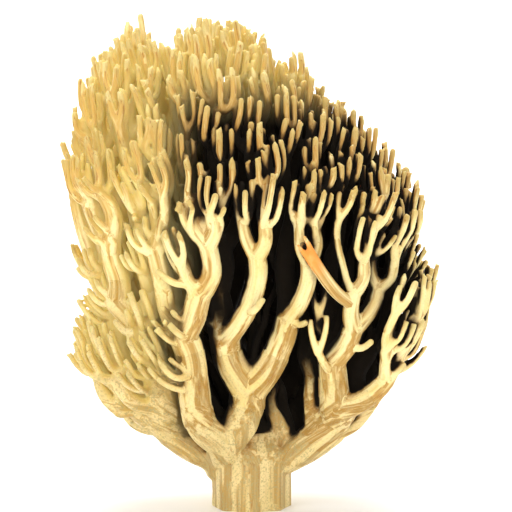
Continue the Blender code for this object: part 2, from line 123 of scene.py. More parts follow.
# Thickness of the branches, in millimetres.
SHOOT_RADIUS = 1.2
SLIM_POWER = 0.48
THICK_POWER = 0.30
THICK_FROM = 12
FORK_FLARE = 1.35
FLARE_LENGTH = 1.6
FOOT_SLIMNESS = 0.62
FULL_FROM = 26.0
CLUB_LENGTH = 9.0
CLUB_SWELL = 0.65
# How far past a shoot's end its rounding reaches, and how thick it still is there.
ROUNDED_END = ((0.5, 0.85), (0.85, 0.45))
TUBE_FINENESS = 2
# Height and radius of the solid heart of the base.
HEART = [(-3, 12), (5, 12), (12, 12), (17, 12), (23, 9), (29, 4)]
# How far the base goes on below the ground before it is cut off flat.
GROUND_DEPTH = 3.0

# How branches join on the way down, in millimetres or as multiples of their radii.
LOWEST_FORK = 7.0
SHOOT_LENGTH = 12.0
FORK_SPACING = 4.5
SPACING_PER_RADIUS = 2.0
JOIN_REACH = 1.9
SLIM_REACH = 0.9
TOUCHING_REACH = 1.15
EAGER_AFTER = 2.0
EAGERNESS = 0.3
BLEND_LENGTHS = (5.0, 18.0)
BLEND_PER_OFFSET = 2.7

# Bends and the room between branches, in millimetres.
BEND = 0.9
BEND_FROM = 8.0
BEND_OVER = 25.0
BEND_PACE = 0.11
CROOK = 0.14
CROOK_MORE = 0.22
CROOK_FROM = 50.0
CROOK_PACE = 0.29
KIN_RADII = 1.35
KIN_REACH = 2.0
FREE_FROM = 24.0
FREE_OVER = 12.0
CLEARANCE = 1.5
PUSH = 1.6
LARGEST_SHIFT = 5.0
CLEARING_ROUNDS = (24, 12, 8)
LAST_CLEARING = 4
STRAIGHTENING = 3

# Where the pieces are parted, in millimetres along a branch from the ground.
TRUNK_FROM = 27.0
BRANCH_AFTER = 16.0
FEWEST_TIPS = 5
SAW_ROOM = 1.6
SAW_REACH = 3.0
SAW_LOOK = 14.0

# What every random draw starts from.
SEED = 33

# The finger clusters, in millimetres.
CLUSTER_DEPTH = 16.0
STEM_BEND = 6.0
STEM_LENGTHS = (2.0, 6.5)
STEM_SWELL = 1.25
FINGER_BEND = 6.5
AIM = 2.0
FINGER_SPACING = 3.6
FINGER_JITTER = 0.07
FINGER_REACH = (0.9, 1.12)
FINGER_ROWS = 16
FINGER_DROP = 4.2
FINGER_VARIETY = (0.86, 1.12)
MIDDLE_JITTER = 0.3
FEWEST_FINGERS = 4
LONE_FINGER = 1.3
LONE_DROP = 2.0
LARGEST_CLUSTER = 3.4
SMALLEST_CLUSTER = 2.25
CLUSTER_MARGIN = 1.2
ROOM_INSIDE = 2.9
LARGEST_RADIUS = 9.0
KNOB_LENGTHS = (0.3, 1.6)
KNOB_ROOT = 0.9
KNOB_SPREAD = 0.58
KNOB_PARTING = 0.2
KNOB_SIZE = 0.54
KNOBBED_SHARE = 0.65
# Where the middle row of a knob or a splinter lies between its ends.
SHORT_MIDDLE = 0.6
# Rows at a finger's end that have to stay out of other branches, and how deep they may dip.
END_ROWS = 5
DIP = 0.5
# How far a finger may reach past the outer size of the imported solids.
BOX_MARGIN = 1.2

# How a piece is closed where it parts from the next one, in millimetres.
OVERLAP_STEPS = 4
SEAM_OVERLAP = 0.2
SEAM_ROOM = 0.1
CUT_REACH = 1.3
CUT_CLEARANCE = 0.7
# How close to the plane of a cut a corner counts as lying on it, in metres.
CUT_PRECISION = 1e-7

# How far from a finger tip the flesh counts as lying that has none of its own.
STOUT_BACK = 40.0
# From what radius a branch sets the grain of the skin around it, if that is the closest.
STOUT_RADIUS = 1.9

# The grain of the flesh: how fast it changes along a branch, and where the base's own ends.
GRAIN_STRETCH = 0.06
BASE_TOP = (14.0, 34.0)

# The ribs: the radius from which they rise and over how much more they reach their height;
# for each set of ribs its number round the branch, its twist along it, its turn and its
# height; and the pace and turn of the lumps on them.
RIBBED_RADII = (1.6, 5.0)
RIBS = ((5, 0.09, 0.0, 1.0), (9, -0.07, 1.3, 0.6))
RIB_SHARE = 0.7
LUMP_SHARE = 0.8
LUMPS_UP = (0.55, 2.0)
LUMPS_ALONG = (0.31, 0.7)

# The broken branch at the front, in millimetres: its ends and bend, its wound, and for each
# splinter its place across, its length and its radius.
TORN_FOOT = (22.0, -30.0, 62.0)
TORN_END = (10.8, -38.6, 79.0)
TORN_SAG = (0.0, -2.0, -3.0)
TORN_SAG_AT = 0.45
TORN_KNEE = 0.7
TORN_RADIUS = 1.9
TORN_STEPS = 12
TORN_WOUND = 5.0
TORN_FULL = 1.7
TORN_WIDTH = 1.25
SPLINTERS = ((-1.35, 4.6, 0.8), (0.0, 0.6, 0.7), (1.35, 3.2, 0.75))
SPLINTER_ROOT = 2.0
SPLINTER_SPREAD = 0.8
SPLINTER_POINT = 0.6

# Small side shoots on the trunks, in millimetres or as shares of their length.
SIDE_SHOOTS = 60
SIDE_TRIES = 240
SIDE_RADIUS = 1.0
SIDE_ROOT = 1.5
SIDE_TAPER = (1.35, 0.35)
SIDE_LENGTHS = (3.0, 8.0)
SIDE_ON_RADII = (1.9, 5.5)
SIDE_HEIGHTS = (24.0, 105.0)
SIDE_INSET = 4.0
SIDE_APART = 5.0
SIDE_LEAN = 0.9
SIDE_FORWARD = 1.6
SIDE_STEPS = 5
SIDE_SUNK = 0.5
SIDE_KNEE = 0.6
SIDE_MIDDLE = (0.30, 0.25)
SIDE_END = (0.45, 0.95)

# Slender shoots inside the crown, in millimetres.
INNER_SHOOTS = 800
INNER_RADII = (1.3, 2.6)
INNER_TAPER = (1.0, 0.45)
INNER_ROOTS = (10.0, 40.0)
INNER_ROOT_RADIUS = 2.6
INNER_TARGETS = ((-48, 34), (-15, 20), (36, 124))
INNER_INSET = 12.0
INNER_FOOT = 0.42
INNER_LIFT = (0, 0, 0.6)
INNER_BEND = 0.4
INNER_STEP = 3.0
INNER_DRIFT = (0.21, SEED + 9)
FEWEST_STEPS = 6
DRIFT = 0.9

# Shoots behind the gaps of the front view, in millimetres.
COVER_STEP = 0.7
COVER_CELLS = 216
COVER_MARGIN = 0.25
SHORTEST_ROWS = 4
BACKING_FROM = 26.0
BACKING_INSET = 4.5
BACKING_RADIUS = 1.5
BACKING_TAPER = (1.15, 0.3)
BACKING_OVER = 3.0
BACKING_TRIES = 30
BACKING_STEP = 1.5
BACKING_LIFT = (0, 0, 0.8)
BACKING_BENDS = (0.35, 0.25)
BACKING_DEPTHS = (-14.0, 26.0)
BACKING_RISE = (5.0, 50.0)
BACKING_MIDDLE = 8.0
# What height and depth count for when the branch to start from is chosen.
BACKING_RISE_COST = 0.35
BACKING_DEPTH_COST = 0.3

# Slender forked shoots in the open spaces of the front, in millimetres.
FRONT_SHOOTS = 14
FRONT_TRIES = 4000
FRONT_FROM = -17.0
FRONT_ROOT_RADIUS = 1.9
FRONT_ROOTS = (14.0, 84.0)
FRONT_ACROSS = (-22, 40)
FRONT_HEIGHTS = (48, 92)
FRONT_INSETS = (10.0, 6.0)
FRONT_DEPTH = 0.62
FRONT_GAP = 1.0
FRONT_HIDDEN = 0.65
FORKS_HIDDEN = 0.75
FRONT_FORKS = (9.0, 18.0)
FRONT_RADII = (1.3, 2.0)
FRONT_TAPER = (1.1, 0.25)
FRONT_TURN = 0.5
FRONT_RISE = (9.0, 45.0)
FRONT_RISE_COST = 0.25
FRONT_DEPTH_COST = 0.4
FRONT_LIFT = (0, -0.3, 0.8)
FRONT_BEND = 0.35
FRONT_STEP = 2.0
FRONT_DRIFT = (0.19, SEED + 13)
FORK_STEPS = 8
FORK_SPREAD = (1.6, 0.07)
FORK_VARIETY = (0.8, 1.2)
FORK_HEIGHTS = (0.8, 1.0)
FORK_TAPER = (0.85, 0.2)
FORK_FORWARD = 1.5
FORK_ROOT = 1.0

# Shade between the branches, which is painted into the flesh's colour, in millimetres.
SHADE_RAYS = 10
SHADE_SETS = 9
SHADE_SET_TURN = 0.7
SHADE_REACH = 14.0
SHADE_LIFT = 0.25
FAR_REACH = 70.0
SHADE_EVENING = (5, 8)
RIB_EVENING = 4

# The look of the flesh. Noises: scale, detail and roughness.
STREAK_NOISE = (0.95, 4.0, 0.6)
BAND_NOISE = (0.34, 2.0, 0.5)
THREAD_NOISE = (1.7, 3.0, 0.5)
BLOTCH_NOISE = (55.0, 2.0)
SPECK_NOISE = (1600.0, 2.0, 0.7)
# Where the heart of the crown lies, across and in height: there the shade between the branches
# is painted black, the grooves take a darker painted shade, and the streaks turn browner.
HEART_ACROSS = (-0.036, -0.018)
HEART_HEIGHT = (0.131, 0.113)
# For each effect the two values between which it sets in, and its strengths there.
WARM_STREAKS = (0.42, 0.72, 0.0, 0.6)
WARM_BLOTCHES = (0.40, 0.70, 0.0, 0.55)
OCHRE_BANDS = (0.44, 0.55, 0.0, 0.95)
OCHRE_STREAKS = (0.32, 0.56, 0.30, 1.0)
HEART_BROWN = 0.4
TIP_LENGTH = (0.0, 3.0, 0.6, 0.0)
THREADS = (0.57, 0.66, 0.0, 0.8)
THREAD_BANDS = (0.40, 0.58, 0.15, 1.0)
DOTS = (0.50, 0.64, 0.0, 0.75)
DOT_BANDS = (0.46, 0.62, 0.0, 0.45)
# Painted shade: how closed in a corner is, near by and from far away, sets how far the flesh
# darkens to the grooves' shade colour, to the pale ochre shade of the outer crown, and to black
# in the heart.
GROOVE_SHADE_NEAR = (0.12, 0.44, 0.0, 0.9)
GROOVE_SHADE_FAR = (0.44, 0.74, 0.0, 0.85)
SOFT_SHADE_NEAR = (0.38, 0.66)
SOFT_SHADE_FAR = (0.62, 0.86)
BLACK_SHADE_NEAR = (0.23, 0.37)
BLACK_SHADE_FAR = (0.46, 0.62)
ROUGHNESS = (0.3, 0.7, 0.50, 0.66)
STREAK_HEIGHT = 0.7
SPECK_HEIGHT = 0.15
# How strongly each kind of piece is dotted.
BASE_DOTS = 1.0
TRUNK_DOTS = 0.5
CROWN_DOTS = 0.2

# The surface of the flesh: its bumps in metres, its shine, and how far light goes into it.
BUMP_STRENGTH = 0.5
BUMP_HEIGHT = 0.0003
SHINE = 0.2
TRANSLUCENCE = 0.25
TRANSLUCENT_COLOURS = (1.0, 0.6, 0.25)
TRANSLUCENT_DEPTH = 0.003

# The camera's sensor, in millimetres.
SENSOR = 36.0
# The studio, in metres: its paper and, for each light, its name, its place, what it looks
# at, its size and its colour. The powers are among the settings.
PAPER = ((0.93, 0.925, 0.91, 1.0), (0.96, 0.955, 0.945, 1.0))
PAPER_NOISE = (9.0, 2.0)
PAPER_ROUGHNESS = 0.9
STAGE_BEND_STEPS = 12
DAYLIGHT = (1.0, 0.98, 0.95)
WARM_LIGHT = (1.0, 0.93, 0.82)
WHITE = (1.0, 1.0, 1.0)
WORLD_STRENGTH = 0.80
CROWN_MIDDLE = (0, 0, 0.08)
WALL_MIDDLE = (0, 0.9, 0.35)
LIGHTS = (("key", (-0.45, -0.55, 0.50), CROWN_MIDDLE, 0.35, DAYLIGHT),
          ("fill", (0.16, -0.80, 0.16), CROWN_MIDDLE, 0.40, WARM_LIGHT),
          ("wall", (0.0, 0.25, 0.90), WALL_MIDDLE, 0.80, WHITE),
          ("top", (0.0, 0.10, 0.75), CROWN_MIDDLE, 0.60, DAYLIGHT))


def level_at(table, x):
    """Height of a broken line at one place across."""
    if x <= table[0][0]:
        return table[0][1]
    for (x0, z0), (x1, z1) in zip(table, table[1:]):
        if x <= x1:
            return z0 + (z1 - z0) * (x - x0) / (x1 - x0)
    return table[-1][1]


def outline_sides():
    """The straight sides of the outline, one after another."""
    return zip(OUTLINE, OUTLINE[1:] + OUTLINE[:1])


def depth_inside(x, z):
    """How far a point lies inside the outline; negative outside it."""
    nearest = 1e9
    inside = False
    for (x0, z0), (x1, z1) in outline_sides():
        dx = x1 - x0
        dz = z1 - z0
        t = ((x - x0) * dx + (z - z0) * dz) / (dx * dx + dz * dz)
        t = max(0.0, min(1.0, t))
        nearest = min(nearest, math.hypot(x - x0 - t * dx, z - z0 - t * dz))
        if (z0 > z) != (z1 > z) and x < dx * (z - z0) / dz + x0:
            inside = not inside
    return nearest if inside else -nearest


def half_depth(inset, x):
    """Half of the crown's depth, front to back, this far inside its outline."""
    u = max(0.0, 1.0 - inset / CROWN_ROUNDING)
    slimmer = LEFT_SLIMMING * max(0.0, min(1.0, -x / SLIMMEST_X))
    return CROWN_HALF_DEPTH * (1.0 - slimmer) * math.sqrt(max(0.0, 1.0 - u * u))


def scatter_tips(rng):
    """Branch ends spread evenly over the outside of the crown."""
    tips = []
    for _ in range(TIP_TRIES):
        x = rng.uniform(*TIPS_ACROSS)
        z = rng.uniform(*TIP_HEIGHTS)
        side = rng.choice((-1, 1))
        across_rim = rng.uniform(-1, 1)
        inset = depth_inside(x, z)
        if z < level_at(SKIRT, x) or inset < RIM_INSET:
            continue
        if inset < RIM_WIDTH:
            side = across_rim
        tip = Vector((x, side * half_depth(inset, x), z))
        if all((tip - other).length > TIP_SPACING for other in tips):
            tips.append(tip)
    return tips


def bezier(p0, p1, p2, p3, t):
    """A point part of the way along a smooth curve."""
    u = 1.0 - t
    return p0 * u ** 3 + p1 * (3 * u * u * t) + p2 * (3 * u * t * t) + p3 * t ** 3


def path_to(tip):
    """Evenly spaced points from the ground up to one tip."""
    base = Vector((FOOT_X + tip.x * BASE_SPREAD_X, tip.y * BASE_SPREAD_Y, 0.0))
    outward = (tip - Vector((0, 0, OUTWARD_FROM))).normalized()
    arrive = (outward * OUTWARD_SHARE + Vector((0, 0, UPWARD_SHARE))).normalized()
    leave = Vector((tip.x, tip.y, max(LEAST_CLIMB, tip.z * CLIMB_SHARE))).normalized()
    span = (tip - base).length
    knee = base + leave * span * KNEE_SHARE
    shoulder = tip - arrive * span * SHOULDER_SHARE
    steps = range(PATH_FINENESS + 1)
    fine = [bezier(base, knee, shoulder, tip, k / PATH_FINENESS) for k in steps]
    path = [fine[0]]
    run = 0.0
    target = STEP
    for a, b in zip(fine, fine[1:]):
        length = (b - a).length
        while run + length >= target:
            path.append(a.lerp(b, (target - run) / length))
            target += STEP
        run += length
    return path


def branch_radius(tips):
    """Radius of a branch that carries this many tips."""
    if tips <= THICK_FROM:
        return SHOOT_RADIUS * tips ** SLIM_POWER
    stout = SHOOT_RADIUS * THICK_FROM ** SLIM_POWER
    return stout * (tips / THICK_FROM) ** THICK_POWER


class Bunch:
    """Tips whose paths have run together into one branch."""

    def __init__(self, tips, top, mean, forks=()):
        self.tips = tips
        self.top = top
        self.low = 0
        self.mean = mean
        self.forks = list(forks)


def ripe_after(bunch):
    """Length a branch keeps before it may join another."""
    if bunch.tips == 1:
        return SHOOT_LENGTH
    return FORK_SPACING + SPACING_PER_RADIUS * branch_radius(bunch.tips)


def closest_pair(bunches, level):
    """The two branches most ready to join at this level, if any are close enough."""
    if len(bunches) < 2:
        return None
    place = np.array([b.mean[level] for b in bunches])
    radius = np.array([branch_radius(b.tips) for b in bunches])
    tips = np.array([float(b.tips) for b in bunches])
    waited = np.array([(b.top - level) * STEP / ripe_after(b) for b in bunches])
    eager = 1.0 + EAGERNESS * np.maximum(0.0, waited - EAGER_AFTER)
    ripe = np.minimum(waited[:, None], waited[None, :]) >= 1.0
    gap = place[:, None, :] - place[None, :, :]
    dist = np.sqrt(gap[..., 0] ** 2 + gap[..., 1] ** 2 + gap[..., 2] ** 2)
    reach = JOIN_REACH + SLIM_REACH / np.sqrt(tips[:, None] * tips[None, :])
    reach = reach * np.maximum(eager[:, None], eager[None, :])
    reach = np.where(ripe, reach, TOUCHING_REACH) * (radius[:, None] + radius[None, :])
    score = dist / reach + np.eye(len(bunches)) * 1e6
    best = int(np.argmin(np.round(score, 9)))
    a, b = divmod(best, len(bunches))
    if score[a, b] >= 1.0:
        return None
    return bunches[a], bunches[b]


def run_together(tips):
    """Join the paths from the tips downward, as streams join into rivers."""
    paths = [path_to(tip) for tip in tips]
    levels = max(len(path) for path in paths)
    table = np.full((len(paths), levels, 3), np.nan)
    for row, path in enumerate(paths):
        table[row, :len(path)] = [tuple(p) for p in path]
    waiting = sorted(range(len(paths)), key=lambda i: len(paths[i]))
    bunches = []
    for level in range(levels - 1, int(LOWEST_FORK / STEP) - 1, -1):
        while waiting and len(paths[waiting[-1]]) - 1 >= level:
            row = waiting.pop()
            bunches.append(Bunch(1, len(paths[row]) - 1, table[row]))
        pair = closest_pair(bunches, level)
        while pair:
            one, two = pair
            one.low = two.low = level
            total = one.tips + two.tips
            mean = (one.mean * one.tips + two.mean * two.tips) / total
            bunches.remove(one)
            bunches.remove(two)
            bunches.append(Bunch(total, level, mean, (one, two)))
            pair = closest_pair(bunches, level)
    return bunches


class Knot:
    """One point on the centre line of a branch."""

    def __init__(self, place, radius, below, run):
        self.place = place
        self.radius = radius
        self.below = below
        self.run = run
        self.piece = None


class Branch:
    """A run of knots from one fork to the next."""

    def __init__(self, parent, tips):
        self.parent = parent
        self.tips = tips
        self.knots = []
        self.forks = []
        self.last = 0


def lay_out(roots):
    """Turn the joined paths into branches that leave each fork side by side."""
    knots = []
    branches = []

    def follow(bunch, start, parent):
        branch = Branch(parent, bunch.tips)
        branches.append(branch)
        radius = branch_radius(bunch.tips)
        offset = Vector((0, 0, 0))
        first = 0
        wide = radius
        below = start
        if parent:
            parent.forks.append(branch)
            offset = knots[start].place - Vector(bunch.mean[bunch.low])
            first = bunch.low + 1
            wide = min(knots[start].radius, radius * FORK_FLARE)
        shortest, longest = BLEND_LENGTHS
        blend = max(shortest, min(longest, BLEND_PER_OFFSET * offset.length)) / STEP
        for level in range(first, bunch.top + 1):
            u = min(1.0, (level - bunch.low) / blend)
            fade = 1.0 - math.sin(u * math.pi / 2)
            thin = math.exp(-(level - bunch.low) * STEP / (FLARE_LENGTH * radius))
            place = Vector(bunch.mean[level]) + offset * fade
            foot = FOOT_SLIMNESS + (1.0 - FOOT_SLIMNESS) * min(1.0, place.z / FULL_FROM)
            size = (radius + (wide - radius) * thin) * foot
            if not bunch.forks:
                back = (bunch.top - level) * STEP
                size *= 1.0 + CLUB_SWELL * max(0.0, 1.0 - back / CLUB_LENGTH)
            knots.append(Knot(place, size, below, level * STEP))
            below = len(knots) - 1
            branch.knots.append(below)
        for fork in bunch.forks:
            follow(fork, below, branch)
        branch.last = len(knots) - 1

    for root in roots:
        follow(root, None, None)
    return knots, branches


def tree_of(numbered):
    """Numbered places laid out for finding the nearest ones."""
    tree = kdtree.KDTree(len(numbered))
    for i, place in numbered:
        tree.insert(place, i)
    tree.balance()
    return tree


def knot_tree(knots):
    """All knots laid out for finding the nearest ones."""
    return tree_of([(i, knot.place) for i, knot in enumerate(knots)])


def neighbours(knots):
    """For every knot, the knots next to it along the branches."""
    links = [[] for _ in knots]
    for i, knot in enumerate(knots):
        if knot.below is not None:
            links[i].append(knot.below)
            links[knot.below].append(i)
    return links


def kin(knots, links, start):
    """Knots so near along the branches that they may touch the first one."""
    reach = KIN_RADII * knots[start].radius + KIN_REACH
    seen = {start}
    queue = [(start, 0.0)]
    while queue:
        i, run = queue.pop()
        for j in links[i]:
            if j not in seen and run + STEP < reach + KIN_RADII * knots[j].radius:
                seen.add(j)
                queue.append((j, run + STEP))
    return seen


def sway(place, pace, phase):
    """A smooth sideways drift that changes slowly from place to place."""
    x, y, z = place * pace
    return Vector((
        math.sin(1.7 * y + 2.3 * z + phase),
        math.sin(1.3 * x + 1.9 * z + 2.1 * phase),
        0.5 * math.sin(1.1 * x + 1.6 * y + 3.3 * phase),
    ))


def wander(knots):
    """Give every branch a slow bend and a small crook."""
    for knot in knots:
        swing = BEND * max(0.0, min(1.0, (knot.run - BEND_FROM) / BEND_OVER))
        late = max(0.0, min(1.0, (knot.run - CROOK_FROM) / CROOK_FROM))
        crook = CROOK + CROOK_MORE * late
        slow = sway(knot.place, BEND_PACE, SEED)
        quick = sway(knot.place, CROOK_PACE, SEED + 5)
        knot.place = knot.place + slow * swing + quick * crook


def crowding(knots, family, widest):
    """How far every knot must move to stand clear of the branches beside it."""
    tree = knot_tree(knots)
    push = [Vector((0, 0, 0)) for _ in knots]
    for i, one in enumerate(knots):
        for _, j, dist in tree.find_range(one.place, one.radius + widest + CLEARANCE):
            two = knots[j]
            if j <= i or max(one.run, two.run) < FREE_FROM:
                continue
            if j in family[i] or i in family[j]:
                continue
            need = one.radius + two.radius + CLEARANCE - dist
            if need <= 0:
                continue
            away = (one.place - two.place).normalized()
            share = two.radius / (one.radius + two.radius)
            push[i] += away * need * 0.5 * share
            push[j] -= away * need * 0.5 * (1 - share)
    return push


def spread_along(push, links):
    """Share a push with the knots above and below."""
    shared = []
    for i, own in enumerate(push):
        total = own * 2
        for j in links[i]:
            total = total + push[j]
        shared.append(total / (2 + len(links[i])))
    return shared


def straighten(knots, links, rounds):
    """Take sharp kinks out of the centre lines, leaving forks and tips where they are."""
    for _ in range(rounds):
        places = []
        for knot, beside in zip(knots, links):
            place = knot.place
            if len(beside) == 2 and knot.run > LOWEST_FORK:
                middle = (knots[beside[0]].place + knots[beside[1]].place) / 2
                place = place.lerp(middle, 0.5)
            places.append(place)
        for knot, place in zip(knots, places):
            knot.place = place


def stand_clear(knots, links, rounds):
    """Move branches apart until none but kin touch."""
    family = [kin(knots, links, i) for i in range(len(knots))]
    home = [knot.place.copy() for knot in knots]
    widest = max(knot.radius for knot in knots)
    for _ in range(rounds):
        push = crowding(knots, family, widest)
        for _ in range(STRAIGHTENING):
            push = spread_along(push, links)
        for knot, start, move in zip(knots, home, push):
            free = max(0.0, min(1.0, (knot.run - FREE_FROM + FREE_OVER) / FREE_OVER))
            shift = knot.place + move * PUSH * free - start
            if shift.length > LARGEST_SHIFT:
                shift = shift.normalized() * LARGEST_SHIFT
            knot.place = start + shift


def grow():
    """The centre lines of the whole fungus."""
    rng = random.Random(SEED)
    roots = run_together(scatter_tips(rng))
    knots, branches = lay_out(roots)
    wander(knots)
    links = neighbours(knots)
    for rounds in CLEARING_ROUNDS:
        stand_clear(knots, links, rounds)
        straighten(knots, links, STRAIGHTENING)
    stand_clear(knots, links, LAST_CLEARING)
    return knots, branches


def line_below(knots, index):
    """Every knot between this one and the ground."""
    line = set()
    while index is not None:
        line.add(index)
        index = knots[index].below
    return line


def parted_at(knots, tree, branch, least):
    """Step along a branch where it first stands clear, and the room around it there."""
    for step in range(1, len(branch.knots) - 2):
        index = branch.knots[step]
        knot = knots[index]
        if knot.run < least:
            continue
        own = line_below(knots, index)
        room = knot.radius + SAW_REACH
        for _, other, dist in tree.find_range(knot.place, knot.radius + SAW_LOOK):
            if other not in own and not index < other <= branch.last:
                room = min(room, dist - knots[other].radius)
        if room > knot.radius + SAW_ROOM:
            return step, room
    return None


def share_out(knots, branches):
    """Name the piece each knot belongs to and list the partings between pieces."""
    partings = []
    trunks = []
    tree = knot_tree(knots)

    def claim(branch, step, piece):
        for i in branch.knots[step:]:
            knots[i].piece = piece
        for fork in branch.forks:
            claim(fork, 0, piece)

    def part_stump(branch):
        if branch.tips < FEWEST_TIPS:
            return
        found = parted_at(knots, tree, branch, TRUNK_FROM)
        if found is None:
            for fork in branch.forks:
                part_stump(fork)
            return
        trunks.append((branch, *found))

    for branch in branches:
        if branch.parent is None:
            claim(branch, 0, "stump")
            part_stump(branch)

    def bearing(entry):
        place = knots[entry[0].knots[entry[1]]].place
        return round(math.atan2(place.x, -place.y), 6)

    trunks.sort(key=bearing)
    for number, (branch, step, room) in enumerate(trunks, 1):
        name = "trunk_%02d" % number
        claim(branch, step, name)
        partings.append((branch.knots[step], name, room))
        start = knots[branch.knots[step]].run
        made = 0
        queue = list(branch.forks)
        while queue:
            fork = queue.pop(0)
            found = parted_at(knots, tree, fork, start + BRANCH_AFTER)
            if found is None:
                queue += fork.forks
                continue
            if fork.tips < FEWEST_TIPS:
                continue
            made += 1
            piece = "branch_%02d_%d" % (number, made)
            claim(fork, found[0], piece)
            partings.append((fork.knots[found[0]], piece, found[1]))
    return partings


class Strand:
    """A round stretch of flesh: places and radii along it, in millimetres, and how far
    each place lies from the finger tip that the strand ends in, which the stretches of the
    main branches leave out."""

    def __init__(self, owner, rows, backs=(), rounded=True):
        self.owner = owner
        self.rows = rows
        self.backs = backs
        self.rounded = rounded


def settings():
    """The values in the sidebar."""
    return bpy.context.scene.coral_fungus


def heading(knots, knot):
    """Which way a branch grows at one of its knots."""
    return (knot.place - knots[knot.below].place).normalized()


def knee_above(knots, knot, lift, span, share):
    """Where a shoot that leaves a knot along its branch, and lifts from it, first bends."""
    return knot.place + (heading(knots, knot) + Vector(lift)).normalized() * span * share


def curved(curve, count, radius, taper, span, beyond=0.0, drift=None):
    """Rows along a smooth curve, and how far each lies from the tip that it ends in."""
    rows = []
    for k in range(count + 1):
        t = k / count
        place = bezier(*curve, t)
        if drift:
            place = place + sway(place, *drift) * DRIFT * t
        rows.append((place, radius * (taper[0] - taper[1] * t)))
    return rows, [beyond + span * (1 - k / count) for k in range(count + 1)]


def point_along(places, reach):
    """Place and direction this far back from the last of a row of places."""
    left = reach
    for ahead, behind in zip(reversed(places[1:]), reversed(places[:-1])):
        length = (ahead - behind).length
        if left <= length:
            return ahead.lerp(behind, left / length), (ahead - behind).normalized()
        left -= length
    return places[0], (places[1] - places[0]).normalized()


def nearest_tip_gap(knots, branches):
    """How far each shoot's end is from the closest other shoot's end."""
    ends = [branch.knots[-1] for branch in branches if not branch.forks and branch.knots]
    tree = tree_of([(i, knots[end].place) for i, end in enumerate(ends)])
    return {end: tree.find_n(knots[end].place, 2)[1][2] for end in ends}


def finger(places, out, sub, stem_length, top, thickness):
    """Rows of one finger: it follows the shoot's line, leaning out to its own place."""
    rows = []
    backs = []
    _, upright = point_along(places, AIM)
    for k in range(FINGER_ROWS + 1):
        back = CLUSTER_DEPTH + (top - CLUSTER_DEPTH) * k / FINGER_ROWS
        place, _ = point_along(places, back)
        _, ahead = point_along(places, back + AIM)
        turn = upright.rotation_difference(ahead)
        risen = CLUSTER_DEPTH - back
        first = math.sin(min(1.0, risen / STEM_BEND) * math.pi / 2)
        second = max(0.0, min(1.0, (risen - stem_length) / FINGER_BEND))
        second = math.sin(second * math.pi / 2)
        size = thickness * (STEM_SWELL - (STEM_SWELL - 1.0) * second)
        rows.append((place + turn @ (out * first + sub * second), size))
        backs.append(back - top)
    return rows, backs


def knobs(rows, rng):
    """Two small blunt knobs at a finger's end."""
    end, radius = rows[-1]
    ahead = (end - rows[-3][0]).normalized()
    side = ahead.orthogonal().normalized()
    turn = rng.uniform(0, 2 * math.pi)
    across = side * math.cos(turn) + ahead.cross(side) * math.sin(turn)
    pair = []
    for sign in (-1, 1):
        tall = rng.uniform(*KNOB_LENGTHS)
        root = end - ahead * KNOB_ROOT + across * (sign * KNOB_SPREAD * KNOB_PARTING)
        tip = end + ahead * tall + across * (sign * KNOB_SPREAD)
        places = (root, root.lerp(tip, SHORT_MIDDLE), tip)
        pair.append([(place, radius * KNOB_SIZE) for place in places])
    return pair


def line_to_tip(knots, index, reach):
    """Places along the last stretch of a shoot, from below up to its tip."""
    places = [knots[index].place]
    run = 0.0
    while run < reach and knots[index].below is not None:
        index = knots[index].below
        run += (knots[index].place - places[-1]).length
        places.append(knots[index].place)
    return places[::-1]


def finger_places(reach, rng):
    """Where the fingers of one cluster end, seen from above, grouped by their stems."""
    ring = max(FEWEST_FINGERS, int(2 * math.pi * reach / FINGER_SPACING))
    turn = rng.uniform(0, 2 * math.pi)
    rim = []
    for k in range(ring):
        jitter = rng.uniform(-FINGER_JITTER, FINGER_JITTER)
        angle = turn + 2 * math.pi * (k + jitter) / ring
        away = reach * rng.uniform(*FINGER_REACH)
        rim.append(Vector((math.cos(angle) * away, math.sin(angle) * away, 0)))
    stems = [rim[k:k + 2] for k in range(0, ring, 2)]
    if reach > ROOM_INSIDE:
        stem = rng.choice(stems)
        off = [rng.uniform(-MIDDLE_JITTER, MIDDLE_JITTER) for _ in range(2)]
        stem.append(Vector((*off, 0)))
    return stems


def runs_into(rows, knots, tree, own):
    """Whether the end of a finger would lie inside some other branch."""
    for place, radius in rows[-END_ROWS:]:
        for _, other, dist in tree.find_range(place, LARGEST_RADIUS):
            if other not in own and dist < knots[other].radius + radius * DIP:
                return True
    return False


def leaves_box(rows):
    """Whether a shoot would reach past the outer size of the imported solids."""
    for place, radius in rows:
        for value, least, most in zip(place, *CAD_BOX):
            if value - radius < least / MM - BOX_MARGIN:
                return True
            if value + radius > most / MM + BOX_MARGIN:
                return True
    return False


def cluster(knots, tree, branch, gap, rng):
    """The fingers of one shoot: it forks into stems and each stem into fingers."""
    end = branch.knots[-1]
    places = line_to_tip(knots, end, CLUSTER_DEPTH + STEP)
    owner = knots[end].piece
    own = line_below(knots, end)
    reach = max(SMALLEST_CLUSTER, min(LARGEST_CLUSTER, gap / 2 - CLUSTER_MARGIN))
    _, ahead = point_along(places, AIM)
    side = ahead.orthogonal().normalized()
    other = ahead.cross(side)
    strands = []
    for stem in finger_places(reach, rng):
        middle = sum(stem, Vector()) / len(stem)
        out = side * middle.x + other * middle.y
        stem_length = rng.uniform(*STEM_LENGTHS)
        for place in stem:
            off = place - middle
            sub = side * off.x + other * off.y
            top = rng.uniform(0.0, FINGER_DROP)
            thickness = rng.uniform(*FINGER_VARIETY) * settings().finger_radius / MM
            rows, backs = finger(places, out, sub, stem_length, top, thickness)
            ends = knobs(rows, rng) if rng.random() < KNOBBED_SHARE else []
            if runs_into(rows, knots, tree, own) or leaves_box(rows):
                continue
            strands.append(Strand(owner, rows, backs))
            strands += [Strand(owner, rows, [0.0] * len(rows)) for rows in ends]
    if not strands:
        thickness = LONE_FINGER * settings().finger_radius / MM
        rows, _ = finger(places, Vector(), Vector(), CLUSTER_DEPTH, LONE_DROP, thickness)
        strands.append(Strand(owner, rows, [STOUT_BACK] * len(rows)))
    return strands


